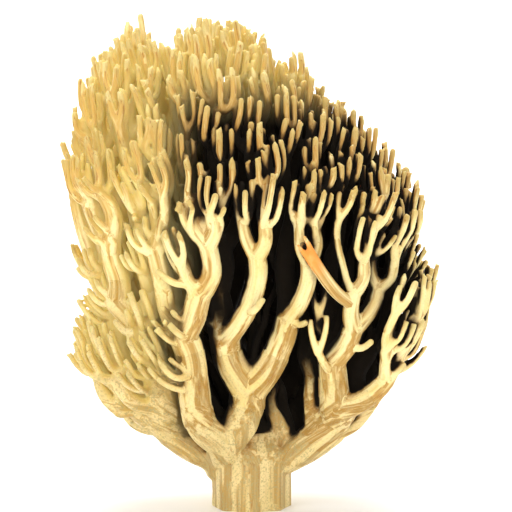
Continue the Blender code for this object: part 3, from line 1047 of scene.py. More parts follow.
def torn_shoot(knots):
    """The broken branch at the front, with an orange wound at its upper end."""
    foot = Vector(TORN_FOOT)
    knot = min(knots, key=lambda knot: (knot.place - foot).length)
    start = knot.place
    end = Vector(TORN_END)
    middle = start.lerp(end, TORN_SAG_AT) + Vector(TORN_SAG)
    curve = (start, start.lerp(middle, TORN_KNEE), middle, end)
    rows, _ = curved(curve, TORN_STEPS, TORN_RADIUS, (1.0, 0.0), 0.0)
    strands = [Strand(knot.piece, rows, [STOUT_BACK] * len(rows), rounded=False)]
    ahead = (end - rows[-2][0]).normalized()
    side = ahead.cross(Vector((0, 1, 0))).normalized()
    for across, long, thick in SPLINTERS:
        root = end - ahead * SPLINTER_ROOT + side * across * SPLINTER_SPREAD
        tip = end + ahead * long + side * across
        rows = [(root, thick), (root.lerp(tip, SHORT_MIDDLE), thick),
                (tip, thick * SPLINTER_POINT)]
        strands.append(Strand(knot.piece, rows, [STOUT_BACK] * len(rows)))
    return strands


def main_strands(knots, branches, piece, near):
    """The stretches of every branch that belong to one piece or lie just beyond its ends."""
    strands = []
    for branch in branches:
        row = branch.knots
        chosen = [k for k, i in enumerate(row) if i in near]
        if not chosen:
            continue
        low = chosen[0]
        high = chosen[-1]
        rows = [(knots[i].place, knots[i].radius) for i in row[low:high + 1]]
        if low == 0:
            if branch.parent:
                below = knots[knots[row[0]].below]
                rows.insert(0, (below.place, rows[0][1]))
                if below.below is not None:
                    rows.insert(0, (knots[below.below].place, rows[0][1]))
            else:
                rows.insert(0, (rows[0][0] - Vector((0, 0, GROUND_DEPTH)), rows[0][1]))
        if not branch.forks:
            rows = rows[:max(2, len(rows) - int(CLUSTER_DEPTH / STEP) + 1)]
        if len(rows) > 1:
            strands.append(Strand(piece, rows))
    return strands


def within_steps(knots, links, piece, steps):
    """Knots of one piece and those a few steps beyond its ends."""
    near = {i for i, knot in enumerate(knots) if knot.piece == piece}
    rim = set(near)
    for _ in range(steps):
        rim = {j for i in rim for j in links[i]} - near
        near |= rim
    return near


def side_shoots(knots, cuts, rng):
    """Short shoots that never grew into the crown, on the outer side of the trunks."""
    thin, thick = SIDE_ON_RADII
    low, high = SIDE_HEIGHTS
    stout = [i for i, knot in enumerate(knots)
             if thin < knot.radius < thick and low < knot.place.z < high]
    strands = []
    taken = []
    for _ in range(SIDE_TRIES):
        knot = knots[rng.choice(stout)]
        root = knot.place
        length = rng.uniform(*SIDE_LENGTHS)
        lean = rng.uniform(-SIDE_LEAN, SIDE_LEAN)
        if depth_inside(root.x, root.z) < length + SIDE_INSET:
            continue
        if any((root - other).length < SIDE_APART for other in taken):
            continue
        if len(taken) >= SIDE_SHOOTS:
            break
        upward = heading(knots, knot)
        out = Vector((root.x, root.y * SIDE_FORWARD, 0)).normalized()
        out.rotate(Vector((0, 0, 1)).rotation_difference(upward))
        out = (out + upward.cross(out) * lean).normalized()
        start = root + out * knot.radius * SIDE_SUNK
        middle, tip = (root + out * (knot.radius + away * length) + upward * rise * length
                       for away, rise in (SIDE_MIDDLE, SIDE_END))
        curve = (start, start.lerp(middle, SIDE_KNEE), middle, tip)
        rows, backs = curved(curve, SIDE_STEPS, SIDE_RADIUS, SIDE_TAPER, length)
        rows[0] = (start, SIDE_RADIUS * SIDE_ROOT)
        if crosses(rows, cuts) or leaves_box(rows):
            continue
        strands.append(Strand(knot.piece, rows, backs))
        taken.append(root)
    return strands


def crosses(rows, cuts):
    """Whether a shoot runs through a place where two pieces part."""
    for middle, upward, room in cuts:
        for place, radius in rows:
            away = place - middle
            if abs(away.dot(upward)) < radius + CUT_CLEARANCE and away.length < room + radius:
                return True
    return False


def rooted(rows, backs, knots, tree):
    """The strand from where it leaves the last branch it runs through, owned by that branch."""
    start = 0
    owner = None
    for k, (place, _) in enumerate(rows):
        deepest = 0.0
        for _, i, dist in tree.find_range(place, LARGEST_RADIUS):
            if dist - knots[i].radius < deepest:
                deepest = dist - knots[i].radius
                start = k
                owner = knots[i].piece
    if owner is None or len(rows) - start < SHORTEST_ROWS:
        return None
    return Strand(owner, rows[start:], backs[start:])


def inner_shoots(knots, tree, cuts, rng):
    """Slender shoots that rise inside the crown and stay short of its outside."""
    low, high = INNER_ROOTS
    roots = [i for i, knot in enumerate(knots)
             if low < knot.place.z < high and knot.radius > INNER_ROOT_RADIUS]
    strands = []
    for _ in range(INNER_SHOOTS):
        target = Vector([rng.uniform(*span) for span in INNER_TARGETS])
        inset = depth_inside(target.x, target.z)
        if inset < INNER_INSET:
            continue
        target.y *= half_depth(inset, target.x) / CROWN_HALF_DEPTH
        foot = target * INNER_FOOT
        knot = knots[min(roots, key=lambda i: (knots[i].place - foot).length)]
        span = (target - knot.place).length
        knee = knee_above(knots, knot, INNER_LIFT, span, INNER_BEND)
        shoulder = target - Vector((0, 0, 1)) * span * INNER_BEND
        count = max(FEWEST_STEPS, int(span / INNER_STEP))
        rows, backs = curved((knot.place, knee, shoulder, target), count,
                             rng.uniform(*INNER_RADII), INNER_TAPER, span,
                             drift=INNER_DRIFT)
        strand = rooted(rows, backs, knots, tree)
        if strand and not crosses(strand.rows, cuts):
            strands.append(strand)
    return strands


def as_seen(places, eye):
    """Where places stand in the picture: their shadows on the plane y = 0 from the camera."""
    share = -eye[1] / (places[:, 1] - eye[1])
    return eye[0] + (places[:, 0] - eye[0]) * share, eye[2] + (places[:, 2] - eye[2]) * share


class Cover:
    """A map of the front view that tells where something stands in the way."""

    def __init__(self, eye):
        self.eye = eye
        self.taken = np.zeros((COVER_CELLS, COVER_CELLS), bool)
        middles = (np.arange(COVER_CELLS) + 0.5) * COVER_STEP
        self.across = middles[:, None] - COVER_STEP * COVER_CELLS / 2
        self.high = middles[None, :]

    def add(self, rows, margin):
        across, high = as_seen(np.array([tuple(place) for place, _ in rows]), self.eye)
        for x, z, (_, radius) in zip(across, high, rows):
            radius = radius + margin
            low = int((x - radius) / COVER_STEP + COVER_CELLS / 2)
            base = int((z - radius) / COVER_STEP)
            size = int(2 * radius / COVER_STEP) + 2
            low = max(low, 0)
            base = max(base, 0)
            part = (slice(low, low + size), slice(base, base + size))
            apart = (self.across[part[0]] - x) ** 2 + (self.high[:, part[1]] - z) ** 2
            self.taken[part] |= apart < radius * radius

    def hidden(self, rows):
        """Which of these rows stand behind or in front of something on the map."""
        across, high = as_seen(np.array([tuple(place) for place, _ in rows]), self.eye)
        i = (across / COVER_STEP + COVER_CELLS / 2).astype(int)
        k = (high / COVER_STEP).astype(int)
        return self.taken[i.clip(0, COVER_CELLS - 1), k.clip(0, COVER_CELLS - 1)]


def fork_of(strand, tall, thick, turn, rng):
    """The two arms that a forked shoot ends in."""
    top = strand.rows[-1][0]
    side = Vector((math.cos(turn), math.sin(turn), 0))
    least, more = FORK_SPREAD
    arms = []
    for sign in (-1, 1):
        spread = sign * (least + more * tall) * rng.uniform(*FORK_VARIETY)
        high = tall * rng.uniform(*FORK_HEIGHTS)
        rows = []
        for k in range(FORK_STEPS + 1):
            t = k / FORK_STEPS
            lean = side * spread * math.sin(t * math.pi / 2)
            rise = Vector((0, -FORK_FORWARD * t, high * t - FORK_ROOT))
            rows.append((top + lean + rise, thick * (FORK_TAPER[0] - FORK_TAPER[1] * t)))
        backs = [high * (1 - k / FORK_STEPS) for k in range(FORK_STEPS + 1)]
        arms.append(Strand(strand.owner, rows, backs))
    return arms


def front_shoots(knots, tree, cuts, strands, eye):
    """Slender forked shoots that rise in the open spaces of the front."""
    rng = random.Random(SEED + 2)
    cover = Cover(eye)
    for knot in knots:
        if knot.below is not None and knot.place.y < FRONT_FROM:
            cover.add([(knot.place, knot.radius)], FRONT_GAP)
    for strand in strands:
        if strand.rows[-1][0].y < FRONT_FROM:
            cover.add(strand.rows, FRONT_GAP)
    lowest, highest = FRONT_ROOTS
    least, most = FRONT_RISE
    roots = [knot for knot in knots if knot.place.y < 0.0
             and knot.radius > FRONT_ROOT_RADIUS and lowest < knot.place.z < highest]
    made = []
    for _ in range(FRONT_TRIES):
        x = rng.uniform(*FRONT_ACROSS)
        z = rng.uniform(*FRONT_HEIGHTS)
        tall = rng.uniform(*FRONT_FORKS)
        thick = rng.uniform(*FRONT_RADII)
        turn = rng.uniform(-FRONT_TURN, FRONT_TURN)
        inset = depth_inside(x, z)
        if inset < FRONT_INSETS[0] or depth_inside(x, z + tall) < FRONT_INSETS[1]:
            continue
        target = Vector((x, -FRONT_DEPTH * half_depth(inset, x), z))
        costs = [abs(knot.place.x - x) + FRONT_RISE_COST * (z - knot.place.z)
                 + FRONT_DEPTH_COST * abs(knot.place.y - target.y)
                 if least < z - knot.place.z < most else math.inf for knot in roots]
        if min(costs) == math.inf:
            continue
        knot = roots[costs.index(min(costs))]
        span = (target - knot.place).length
        knee = knee_above(knots, knot, FRONT_LIFT, span, FRONT_BEND)
        shoulder = target - Vector((0, 0, span * FRONT_BEND))
        steps = max(FEWEST_STEPS, int(span / FRONT_STEP))
        rows, backs = curved((knot.place, knee, shoulder, target), steps, thick, FRONT_TAPER,
                             span, tall, FRONT_DRIFT)
        strand = rooted(rows, backs, knots, tree)
        if strand is None or crosses(strand.rows, cuts):
            continue
        if cover.hidden(strand.rows[len(strand.rows) // 3:]).mean() > FRONT_HIDDEN:
            continue
        arms = fork_of(strand, tall, thick, turn, rng)
        if max(cover.hidden(arm.rows[2:]).mean() for arm in arms) > FORKS_HIDDEN:
            continue
        if any(runs_into(arm.rows, knots, tree, ()) for arm in arms):
            continue
        made.append((strand, *arms))
        for one in made[-1]:
            cover.add(one.rows, FRONT_GAP)
        if len(made) >= FRONT_SHOOTS:
            break
    return [one for shoot in made for one in shoot]


def shoot_behind(knots, knot, gap):
    """Places along a shoot that rises from a branch and on past a gap."""
    end = gap + Vector((0, 0, BACKING_OVER))
    span = (end - knot.place).length
    knee = knee_above(knots, knot, BACKING_LIFT, span, BACKING_BENDS[0])
    shoulder = gap - Vector((0, 0, span * BACKING_BENDS[1]))
    count = max(FEWEST_STEPS, int(span / BACKING_STEP))
    return curved((knot.place, knee, shoulder, end), count, BACKING_RADIUS, BACKING_TAPER, span)


def backing_shoots(knots, tree, cuts, strands, eye):
    """Shoots that rise behind the gaps through which one would see out of the back."""
    cover = Cover(eye)
    for knot in knots:
        if knot.below is not None:
            cover.add([(knot.place, knot.radius)], -COVER_MARGIN)
    for strand in strands:
        cover.add(strand.rows, -COVER_MARGIN)
    front, rear = BACKING_DEPTHS
    least, most = BACKING_RISE
    stout = [i for i, knot in enumerate(knots)
             if knot.radius > BACKING_RADIUS and front < knot.place.y < rear]
    added = []
    for i, k in np.ndindex(COVER_CELLS, COVER_CELLS):
        x = float(cover.across[i, 0])
        z = float(cover.high[0, k])
        if cover.taken[i, k] or z < BACKING_FROM or depth_inside(x, z) < BACKING_INSET:
            continue
        costs = []
        for j in stout:
            place = knots[j].place
            rise = z - place.z
            if least < rise < most:
                costs.append((abs(place.x - x) + BACKING_RISE_COST * rise
                              + BACKING_DEPTH_COST * abs(place.y - BACKING_MIDDLE), j))
        for _, j in sorted(costs)[:BACKING_TRIES]:
            knot = knots[j]
            back = 1.0 - knot.place.y / eye[1]
            gap = Vector((eye[0] + (x - eye[0]) * back, knot.place.y,
                          eye[2] + (z - eye[2]) * back))
            strand = rooted(*shoot_behind(knots, knot, gap), knots, tree)
            if strand is None or crosses(strand.rows, cuts):
                continue
            if min((place - gap).length for place, _ in strand.rows) > BACKING_RADIUS:
                continue
            added.append(strand)
            cover.add(strand.rows, -COVER_MARGIN)
            break
    return added


def worked_out(thing):
    """A mesh of an object as it looks with its modifiers or its roundness worked out."""
    graph = bpy.context.evaluated_depsgraph_get()
    return bpy.data.meshes.new_from_object(thing.evaluated_get(graph), depsgraph=graph)


def tube_mesh(strands, heart):
    """Round, closed tubes along the strands, not yet fused."""
    curve = bpy.data.curves.new("strands", "CURVE")
    curve.dimensions = "3D"
    curve.bevel_depth = MM
    curve.bevel_resolution = TUBE_FINENESS
    curve.use_fill_caps = True
    lines = []
    for strand in strands:
        rows = list(strand.rows)
        if strand.rounded:
            place, radius = rows[-1]
            ahead = (place - rows[-2][0]).normalized()
            for reach, share in ROUNDED_END:
                rows.append((place + ahead * radius * reach, radius * share))
        lines.append(rows)
    if heart:
        lines.append([(Vector((FOOT_X, 0, height)), radius) for height, radius in HEART])
    for rows in lines:
        spline = curve.splines.new("POLY")
        spline.points.add(len(rows) - 1)
        for point, (place, radius) in zip(spline.points, rows):
            point.co = (*(place * MM), 1.0)
            point.radius = radius
    thing = bpy.data.objects.new("strands", curve)
    bpy.context.scene.collection.objects.link(thing)
    bpy.context.view_layer.update()
    mesh = worked_out(thing)
    bpy.data.objects.remove(thing)
    return mesh


def apply_modifiers(thing):
    """Turn what the modifiers of an object make of it into its own mesh."""
    mesh = worked_out(thing)
    old = thing.data
    thing.modifiers.clear()
    thing.data = mesh
    bpy.data.meshes.remove(old)


def fuse(thing, voxel):
    """Melt the tubes into one smooth skin."""
    remesh = thing.modifiers.new("fuse", "REMESH")
    remesh.mode = "VOXEL"
    remesh.voxel_size = voxel
    smooth = thing.modifiers.new("smooth", "SMOOTH")
    smooth.factor = 0.5
    smooth.iterations = settings().smoothing
    apply_modifiers(thing)


def thin_out(thing, ratio):
    """Drop the facets that the form doesn't need."""
    decimate = thing.modifiers.new("thin", "DECIMATE")
    decimate.ratio = ratio
    decimate.use_collapse_triangulate = True
    apply_modifiers(thing)


def read_all(items, name, width, kind):
    """One value of every item of a mesh, as rows of an array."""
    values = np.empty(len(items) * width, kind)
    items.foreach_get(name, values)
    return values.reshape(-1, width)


def coordinates(mesh):
    """Where the corners of a mesh are."""
    return read_all(mesh.vertices, "co", 3, np.float32)


def normals_of(mesh):
    """Which way the skin faces at each corner."""
    return read_all(mesh.vertices, "normal", 3, np.float32)


def edges_of(mesh):
    """The pairs of corners that are joined."""
    return read_all(mesh.edges, "vertices", 2, np.int32)


def evened(values, edges, turns, trusted=None):
    """A value on every corner, averaged with its neighbours a few times."""
    count = len(values)
    one, two = edges[:, 0], edges[:, 1]
    weight = np.ones(count) if trusted is None else trusted + 1e-6

    def with_neighbours(own):
        return own + np.bincount(one, own[two], count) + np.bincount(two, own[one], count)

    for _ in range(turns):
        share = with_neighbours(weight)
        values = with_neighbours(values * weight) / share
        weight = np.minimum(1.0, share)
    return values


def off_the_cuts(mesh, planes):
    """1 on every corner of the grown skin and 0 on those close to a cut."""
    places = coordinates(mesh) / MM
    skin = np.ones(len(places))
    for place, normal, room in planes:
        apart = places - np.array(place)
        level = np.abs(apart @ np.array(normal))
        near = (level < CUT_REACH) & (np.linalg.norm(apart, axis=1) < room + CUT_REACH)
        skin[near] = 0.0
    return skin


class Guide:
    """The centre lines as samples, to tell any point which strand it lies on."""

    def __init__(self, knots, strands):
        samples = []
        for i, knot in enumerate(knots):
            if knot.below is None:
                continue
            ahead = heading(knots, knot)
            samples.append((knot.place, ahead, knot.radius, knot.run, STOUT_BACK))
        for strand in strands:
            base = strand.rows[0][0].length
            for (a, ra), (b, _), back in zip(strand.rows, strand.rows[1:], strand.backs):
                samples.append((a, (b - a).normalized(), ra, base - back, back))
            samples.append((b, (b - a).normalized(), ra, base, strand.backs[-1]))
        self.tree = tree_of([(i, sample[0]) for i, sample in enumerate(samples)])
        self.stout = tree_of([(i, sample[0]) for i, sample in enumerate(samples)
                              if sample[2] > STOUT_RADIUS])
        self.place, self.ahead, self.radius, self.run, self.back = (
            np.array([tuple(v) if isinstance(v, Vector) else v for v in column])
            for column in zip(*samples))

    def closest(self, tree, rows):
        """For every point, the sample with the closest axis, and how far its skin is."""
        found = [tree.find(row)[1:] for row in rows]
        index = np.array([i for i, _ in found])
        return index, np.array([dist for _, dist in found]) - self.radius[index]

    def nearest(self, places):
        """The sample whose skin is closest: the closest axis, or a stout one's farther off."""
        rows = places.tolist()
        one, skin_one = self.closest(self.tree, rows)
        two, skin_two = self.closest(self.stout, rows)
        return np.where(skin_two < skin_one, two, one)

    def read(self, places):
        """For every point: offset from the axis, distance along, radius, distance from tip."""
        index = self.nearest(places)
        offset = places - self.place[index]
        ahead = self.ahead[index]
        along = (offset * ahead).sum(1)
        offset = offset - ahead * along[:, None]
        run = self.run[index] + along
        low, high = BASE_TOP
        branching = np.clip((places[:, 2] - low) / (high - low), 0.0, 1.0)
        from_foot = places - np.array((FOOT_X, 0.0, 0.0))
        from_foot[:, 2] = 0.0
        offset = from_foot + (offset - from_foot) * branching[:, None]
        return offset, run, self.radius[index], self.back[index] - along


def ridged(thing, guide, height):
    """Raise soft ribs that run along the stout stretches."""
    mesh = thing.data
    places = coordinates(mesh) / MM
    offset, run, radius, _ = guide.read(places)
    angle = np.arctan2(offset[:, 1], offset[:, 0])
    start, over = RIBBED_RADII
    stout = np.clip((radius - start) / over, 0.0, 1.0)
    ribs = sum(tall * np.sin(number * angle + twist * run + turn)
               for number, twist, turn, tall in RIBS)
    lumps = (np.sin(LUMPS_UP[0] * places[:, 2] + LUMPS_UP[1] * angle)
             * np.sin(LUMPS_ALONG[0] * run + LUMPS_ALONG[1]))
    lift = (RIB_SHARE * ribs + LUMP_SHARE * lumps) * stout
    lift = evened(lift, edges_of(mesh), RIB_EVENING)
    places = places * MM + normals_of(mesh) * (lift * height)[:, None]
    mesh.vertices.foreach_set("co", places.astype(np.float32).ravel())
    mesh.update()


def islands_of(bm):
    """The separate skins of a mesh, largest first, as lists of corners."""
    left = set(bm.verts)
    islands = []
    for seed in bm.verts:
        if seed not in left:
            continue
        left.discard(seed)
        island = [seed]
        for vert in island:
            for edge in vert.link_edges:
                other = edge.other_vert(vert)
                if other in left:
                    left.discard(other)
                    island.append(other)
        islands.append(island)
    return sorted(islands, key=len, reverse=True)


def part_across(bm, faces, place, normal):
    """Cut the given faces along a plane and let go of what lies beyond."""
    geom = set(faces)
    for face in faces:
        geom.update(face.edges)
        geom.update(face.verts)
    geom = sorted(geom, key=lambda g: (type(g).__name__, g.index))
    cut = bmesh.ops.bisect_plane(bm, geom=geom, dist=CUT_PRECISION, plane_co=place * MM,
                                 plane_no=normal)
    seam = [g for g in cut["geom_cut"] if isinstance(g, bmesh.types.BMEdge)]
    bmesh.ops.split_edges(bm, edges=seam)


def capped(thing, planes, grounded):
    """Cut a skin at the planes where its piece ends, and close the cuts."""
    mesh = thing.data
    bm = bmesh.new()
    bm.from_mesh(mesh)
    bm.faces.ensure_lookup_table()
    centres = np.array([tuple(f.calc_center_median()) for f in bm.faces]) / MM
    chosen = []
    for place, _, room in planes:
        apart = np.linalg.norm(centres - np.array(place), axis=1)
        chosen.append([bm.faces[i] for i in np.nonzero(apart < room)[0]])
    for faces, (place, normal, _) in zip(chosen, planes):
        part_across(bm, faces, place, normal)
    if grounded:
        everything = list(bm.verts) + list(bm.edges) + list(bm.faces)
        bmesh.ops.bisect_plane(bm, geom=everything, dist=CUT_PRECISION, plane_co=(0, 0, 0),
                               plane_no=(0, 0, 1), clear_inner=True)
    for island in islands_of(bm)[1:]:
        bmesh.ops.delete(bm, geom=island, context="VERTS")
    for face in bm.faces:
        face.smooth = True
    rim = [edge for edge in bm.edges if edge.is_boundary]
    caps = bmesh.ops.holes_fill(bm, edges=rim, sides=0)["faces"]
    for face in caps:
        face.smooth = False
        for edge in face.edges:
            edge.smooth = False
    bmesh.ops.triangulate(bm, faces=[f for f in bm.faces if len(f.verts) > 4])
    bm.to_mesh(mesh)
    bm.free()


def open_sky(things):
    """A tree of all the flesh, to cast rays against."""
    verts = []
    faces = []
    for thing in things:
        mesh = thing.data
        mesh.calc_loop_triangles()
        count = sum(len(v) for v in verts)
        verts.append(coordinates(mesh))
        faces.append(read_all(mesh.loop_triangles, "vertices", 3, np.int32) + count)
    return BVHTree.FromPolygons(np.concatenate(verts).tolist(), np.concatenate(faces).tolist())


def spread_rays(count, turn):
    """Directions spread over a half sphere, most of them near its top."""
    rays = []
    golden = math.pi * (3 - math.sqrt(5))
    for k in range(count):
        height = math.sqrt((k + 0.5) / count)
        flat = math.sqrt(1 - height * height)
        angle = golden * k + turn
        rays.append(Vector((flat * math.cos(angle), flat * math.sin(angle), height)))
    return rays


def shade_of(mesh, sky, planes):
    """How closed in every corner is, near by and as seen from far away, from 0 to 1; the flesh's
    colour is darkened by it as painted shade.
    """
    sets = [spread_rays(SHADE_RAYS, k * SHADE_SET_TURN) for k in range(SHADE_SETS)]
    near = np.zeros(len(mesh.vertices))
    far = np.zeros(len(mesh.vertices))
    lift = SHADE_LIFT * MM
    cast = sky.ray_cast
    for i, (place, normal) in enumerate(zip(coordinates(mesh), normals_of(mesh))):
        normal = Vector(normal)
        start = Vector(place) + normal * lift
        turn = normal.to_track_quat("Z", "Y")
        for ray in sets[i % SHADE_SETS]:
            hit = cast(start, turn @ ray, FAR_REACH * MM)[3]
            if hit is not None:
                far[i] += 1.0
                near[i] += max(0.0, 1.0 - hit / (SHADE_REACH * MM))
    edges = edges_of(mesh)
    skin = off_the_cuts(mesh, planes)
    return [evened(hits / SHADE_RAYS, edges, turns, skin)
            for hits, turns in zip((near, far), SHADE_EVENING)]


def keep(mesh, name, values):
    """Write a number or a vector on every corner, for the materials to read."""
    kind, field = ("FLOAT_VECTOR", "vector") if values.ndim > 1 else ("FLOAT", "value")
    layer = mesh.attributes.new(name, kind, "POINT")
    layer.data.foreach_set(field, values.astype(np.float32).ravel())


def torn_share(places, torn):
    """How much of the wound's colour each place on the broken branch has, from 0 to 1."""
    share = np.zeros(len(places))
    for strand in torn:
        for place, radius in strand.rows:
            apart = np.linalg.norm(places - np.array(place), axis=1)
            share[apart < radius * TORN_WIDTH] = 1.0
    apart = np.linalg.norm(places - np.array(TORN_END), axis=1)
    return share * np.clip(TORN_FULL - apart / TORN_WOUND, 0.0, 1.0)


def mark_flesh(mesh, guide, sky, torn, planes):
    """Write on every corner what its colour depends on, including how closed in it is, which the
    material paints as shade.
    """
    places = coordinates(mesh) / MM
    offset, run, _, back = guide.read(places)
    grain = offset.copy()
    grain[:, 2] += run * GRAIN_STRETCH
    near, far = shade_of(mesh, sky, planes)
    keep(mesh, "grain", grain)
    keep(mesh, "back", back)
    keep(mesh, "torn", evened(torn_share(places, torn), edges_of(mesh), 1))
    # How closed in each corner is, near by and from far away, for the painted shade.
    keep(mesh, "shade", near)
    keep(mesh, "inner", far)


def fine_strands(knots, branches, cuts, torn):
    """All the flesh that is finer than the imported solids: fingers, shoots and twigs."""
    rng = random.Random(SEED + 1)
    gaps = nearest_tip_gap(knots, branches)
    tree = knot_tree(knots)
    fine = []
    for branch in branches:
        if not branch.forks and branch.knots:
            fine += cluster(knots, tree, branch, gaps[branch.knots[-1]], rng)
    fine += torn
    fine += side_shoots(knots, cuts, rng)
    eye = np.array(camera_place()) / MM
    front = front_shoots(knots, tree, cuts, fine, eye)
    fine += inner_shoots(knots, tree, cuts, rng)
    fine += front
    return fine + backing_shoots(knots, tree, cuts, fine, eye)


grown = {}


def grow_flesh():
    """Grow every piece once; the operators then finish their own."""
    if grown:
        return grown
    knots, branches = grow()
    partings = share_out(knots, branches)
    links = neighbours(knots)
    cuts = [(knots[index].place, heading(knots, knots[index]), room)
            for index, _, room in partings]
    torn = torn_shoot(knots)
    fine = fine_strands(knots, branches, cuts, torn)
    guide = Guide(knots, fine)
    planes = {name: [] for name in frame["nodes"]}
    for (index, name, _), (place, upward, room) in zip(partings, cuts):
        below = knots[knots[index].below]
        for piece, shift in ((name, -SEAM_OVERLAP), (below.piece, SEAM_OVERLAP)):
            planes[piece].append((place + upward * shift, upward, room - SEAM_ROOM))
    voxel = settings().voxel * 1.0
    for name in sorted(frame["nodes"]):
        near = within_steps(knots, links, name, OVERLAP_STEPS)
        strands = main_strands(knots, branches, name, near)
        strands += [strand for strand in fine if strand.owner == name]
        thing = bpy.data.objects.new(name + "_flesh", tube_mesh(strands, name == "stump"))
        bpy.context.scene.collection.objects.link(thing)
        fuse(thing, voxel)
        ridged(thing, guide, settings().rib_height)
        grown[name] = thing
    total = sum(2 * len(thing.data.polygons) for thing in grown.values())
    ratio = min(1.0, settings().triangles / total)
    for name, thing in grown.items():
        thin_out(thing, ratio)
        capped(thing, planes[name], name == "stump")
    sky = open_sky(grown.values())
    for name, thing in grown.items():
        mark_flesh(thing.data, guide, sky, torn, planes[name])
    return grown


class Nodes:
    """Lays out shader nodes and joins them."""

    def __init__(self, tree):
        self.tree = tree

    def add(self, kind, label="", **values):
        node = self.tree.nodes.new(kind)
        node.label = label
        for name, value in values.items():
            setattr(node, name, value)
        return node

    def join(self, out, into):
        self.tree.links.new(out, into)

    def feed(self, value, socket):
        """Join another node's output to a socket, or write a plain value into it."""
        if isinstance(value, bpy.types.NodeSocket):
            self.join(value, socket)
        else:
            socket.default_value = value

    def attribute(self, name):
        return self.add("ShaderNodeAttribute", name, attribute_name=name)

    def ramp(self, value, low, high, start=0.0, stop=1.0):
        node = self.add("ShaderNodeMapRange", interpolation_type="SMOOTHSTEP")
        self.join(value, node.inputs["Value"])
        for name, number in (("From Min", low), ("From Max", high),
                             ("To Min", start), ("To Max", stop)):
            node.inputs[name].default_value = number
        return node.outputs["Result"]

    def noise(self, vector, scale, detail, rough=0.55):
        node = self.add("ShaderNodeTexNoise")
        node.inputs["Scale"].default_value = scale
        node.inputs["Detail"].default_value = detail
        node.inputs["Roughness"].default_value = rough
        self.join(vector, node.inputs["Vector"])
        return node.outputs["Fac"]

    def mix(self, factor, a, b):
        node = self.add("ShaderNodeMix", data_type="RGBA")
        self.join(factor, node.inputs["Factor"])
        self.feed(a, node.inputs[6])
        self.feed(b, node.inputs[7])
        return node.outputs[2]

    def math(self, operation, a, b):
        node = self.add("ShaderNodeMath", operation=operation)
        self.feed(a, node.inputs[0])
        self.feed(b, node.inputs[1])
        return node.outputs[0]


# The colours the flesh is given; Shaded, Deep, Soft Shaded and Soft Deep are painted shade, and
# Shaded also draws the thin lines and browns the streaks of the heart.
COLOURS = ("Light", "Warm", "Tip", "Wound", "Speck", "Streak", "Shaded", "Deep",
           "Soft Shaded", "Soft Deep")


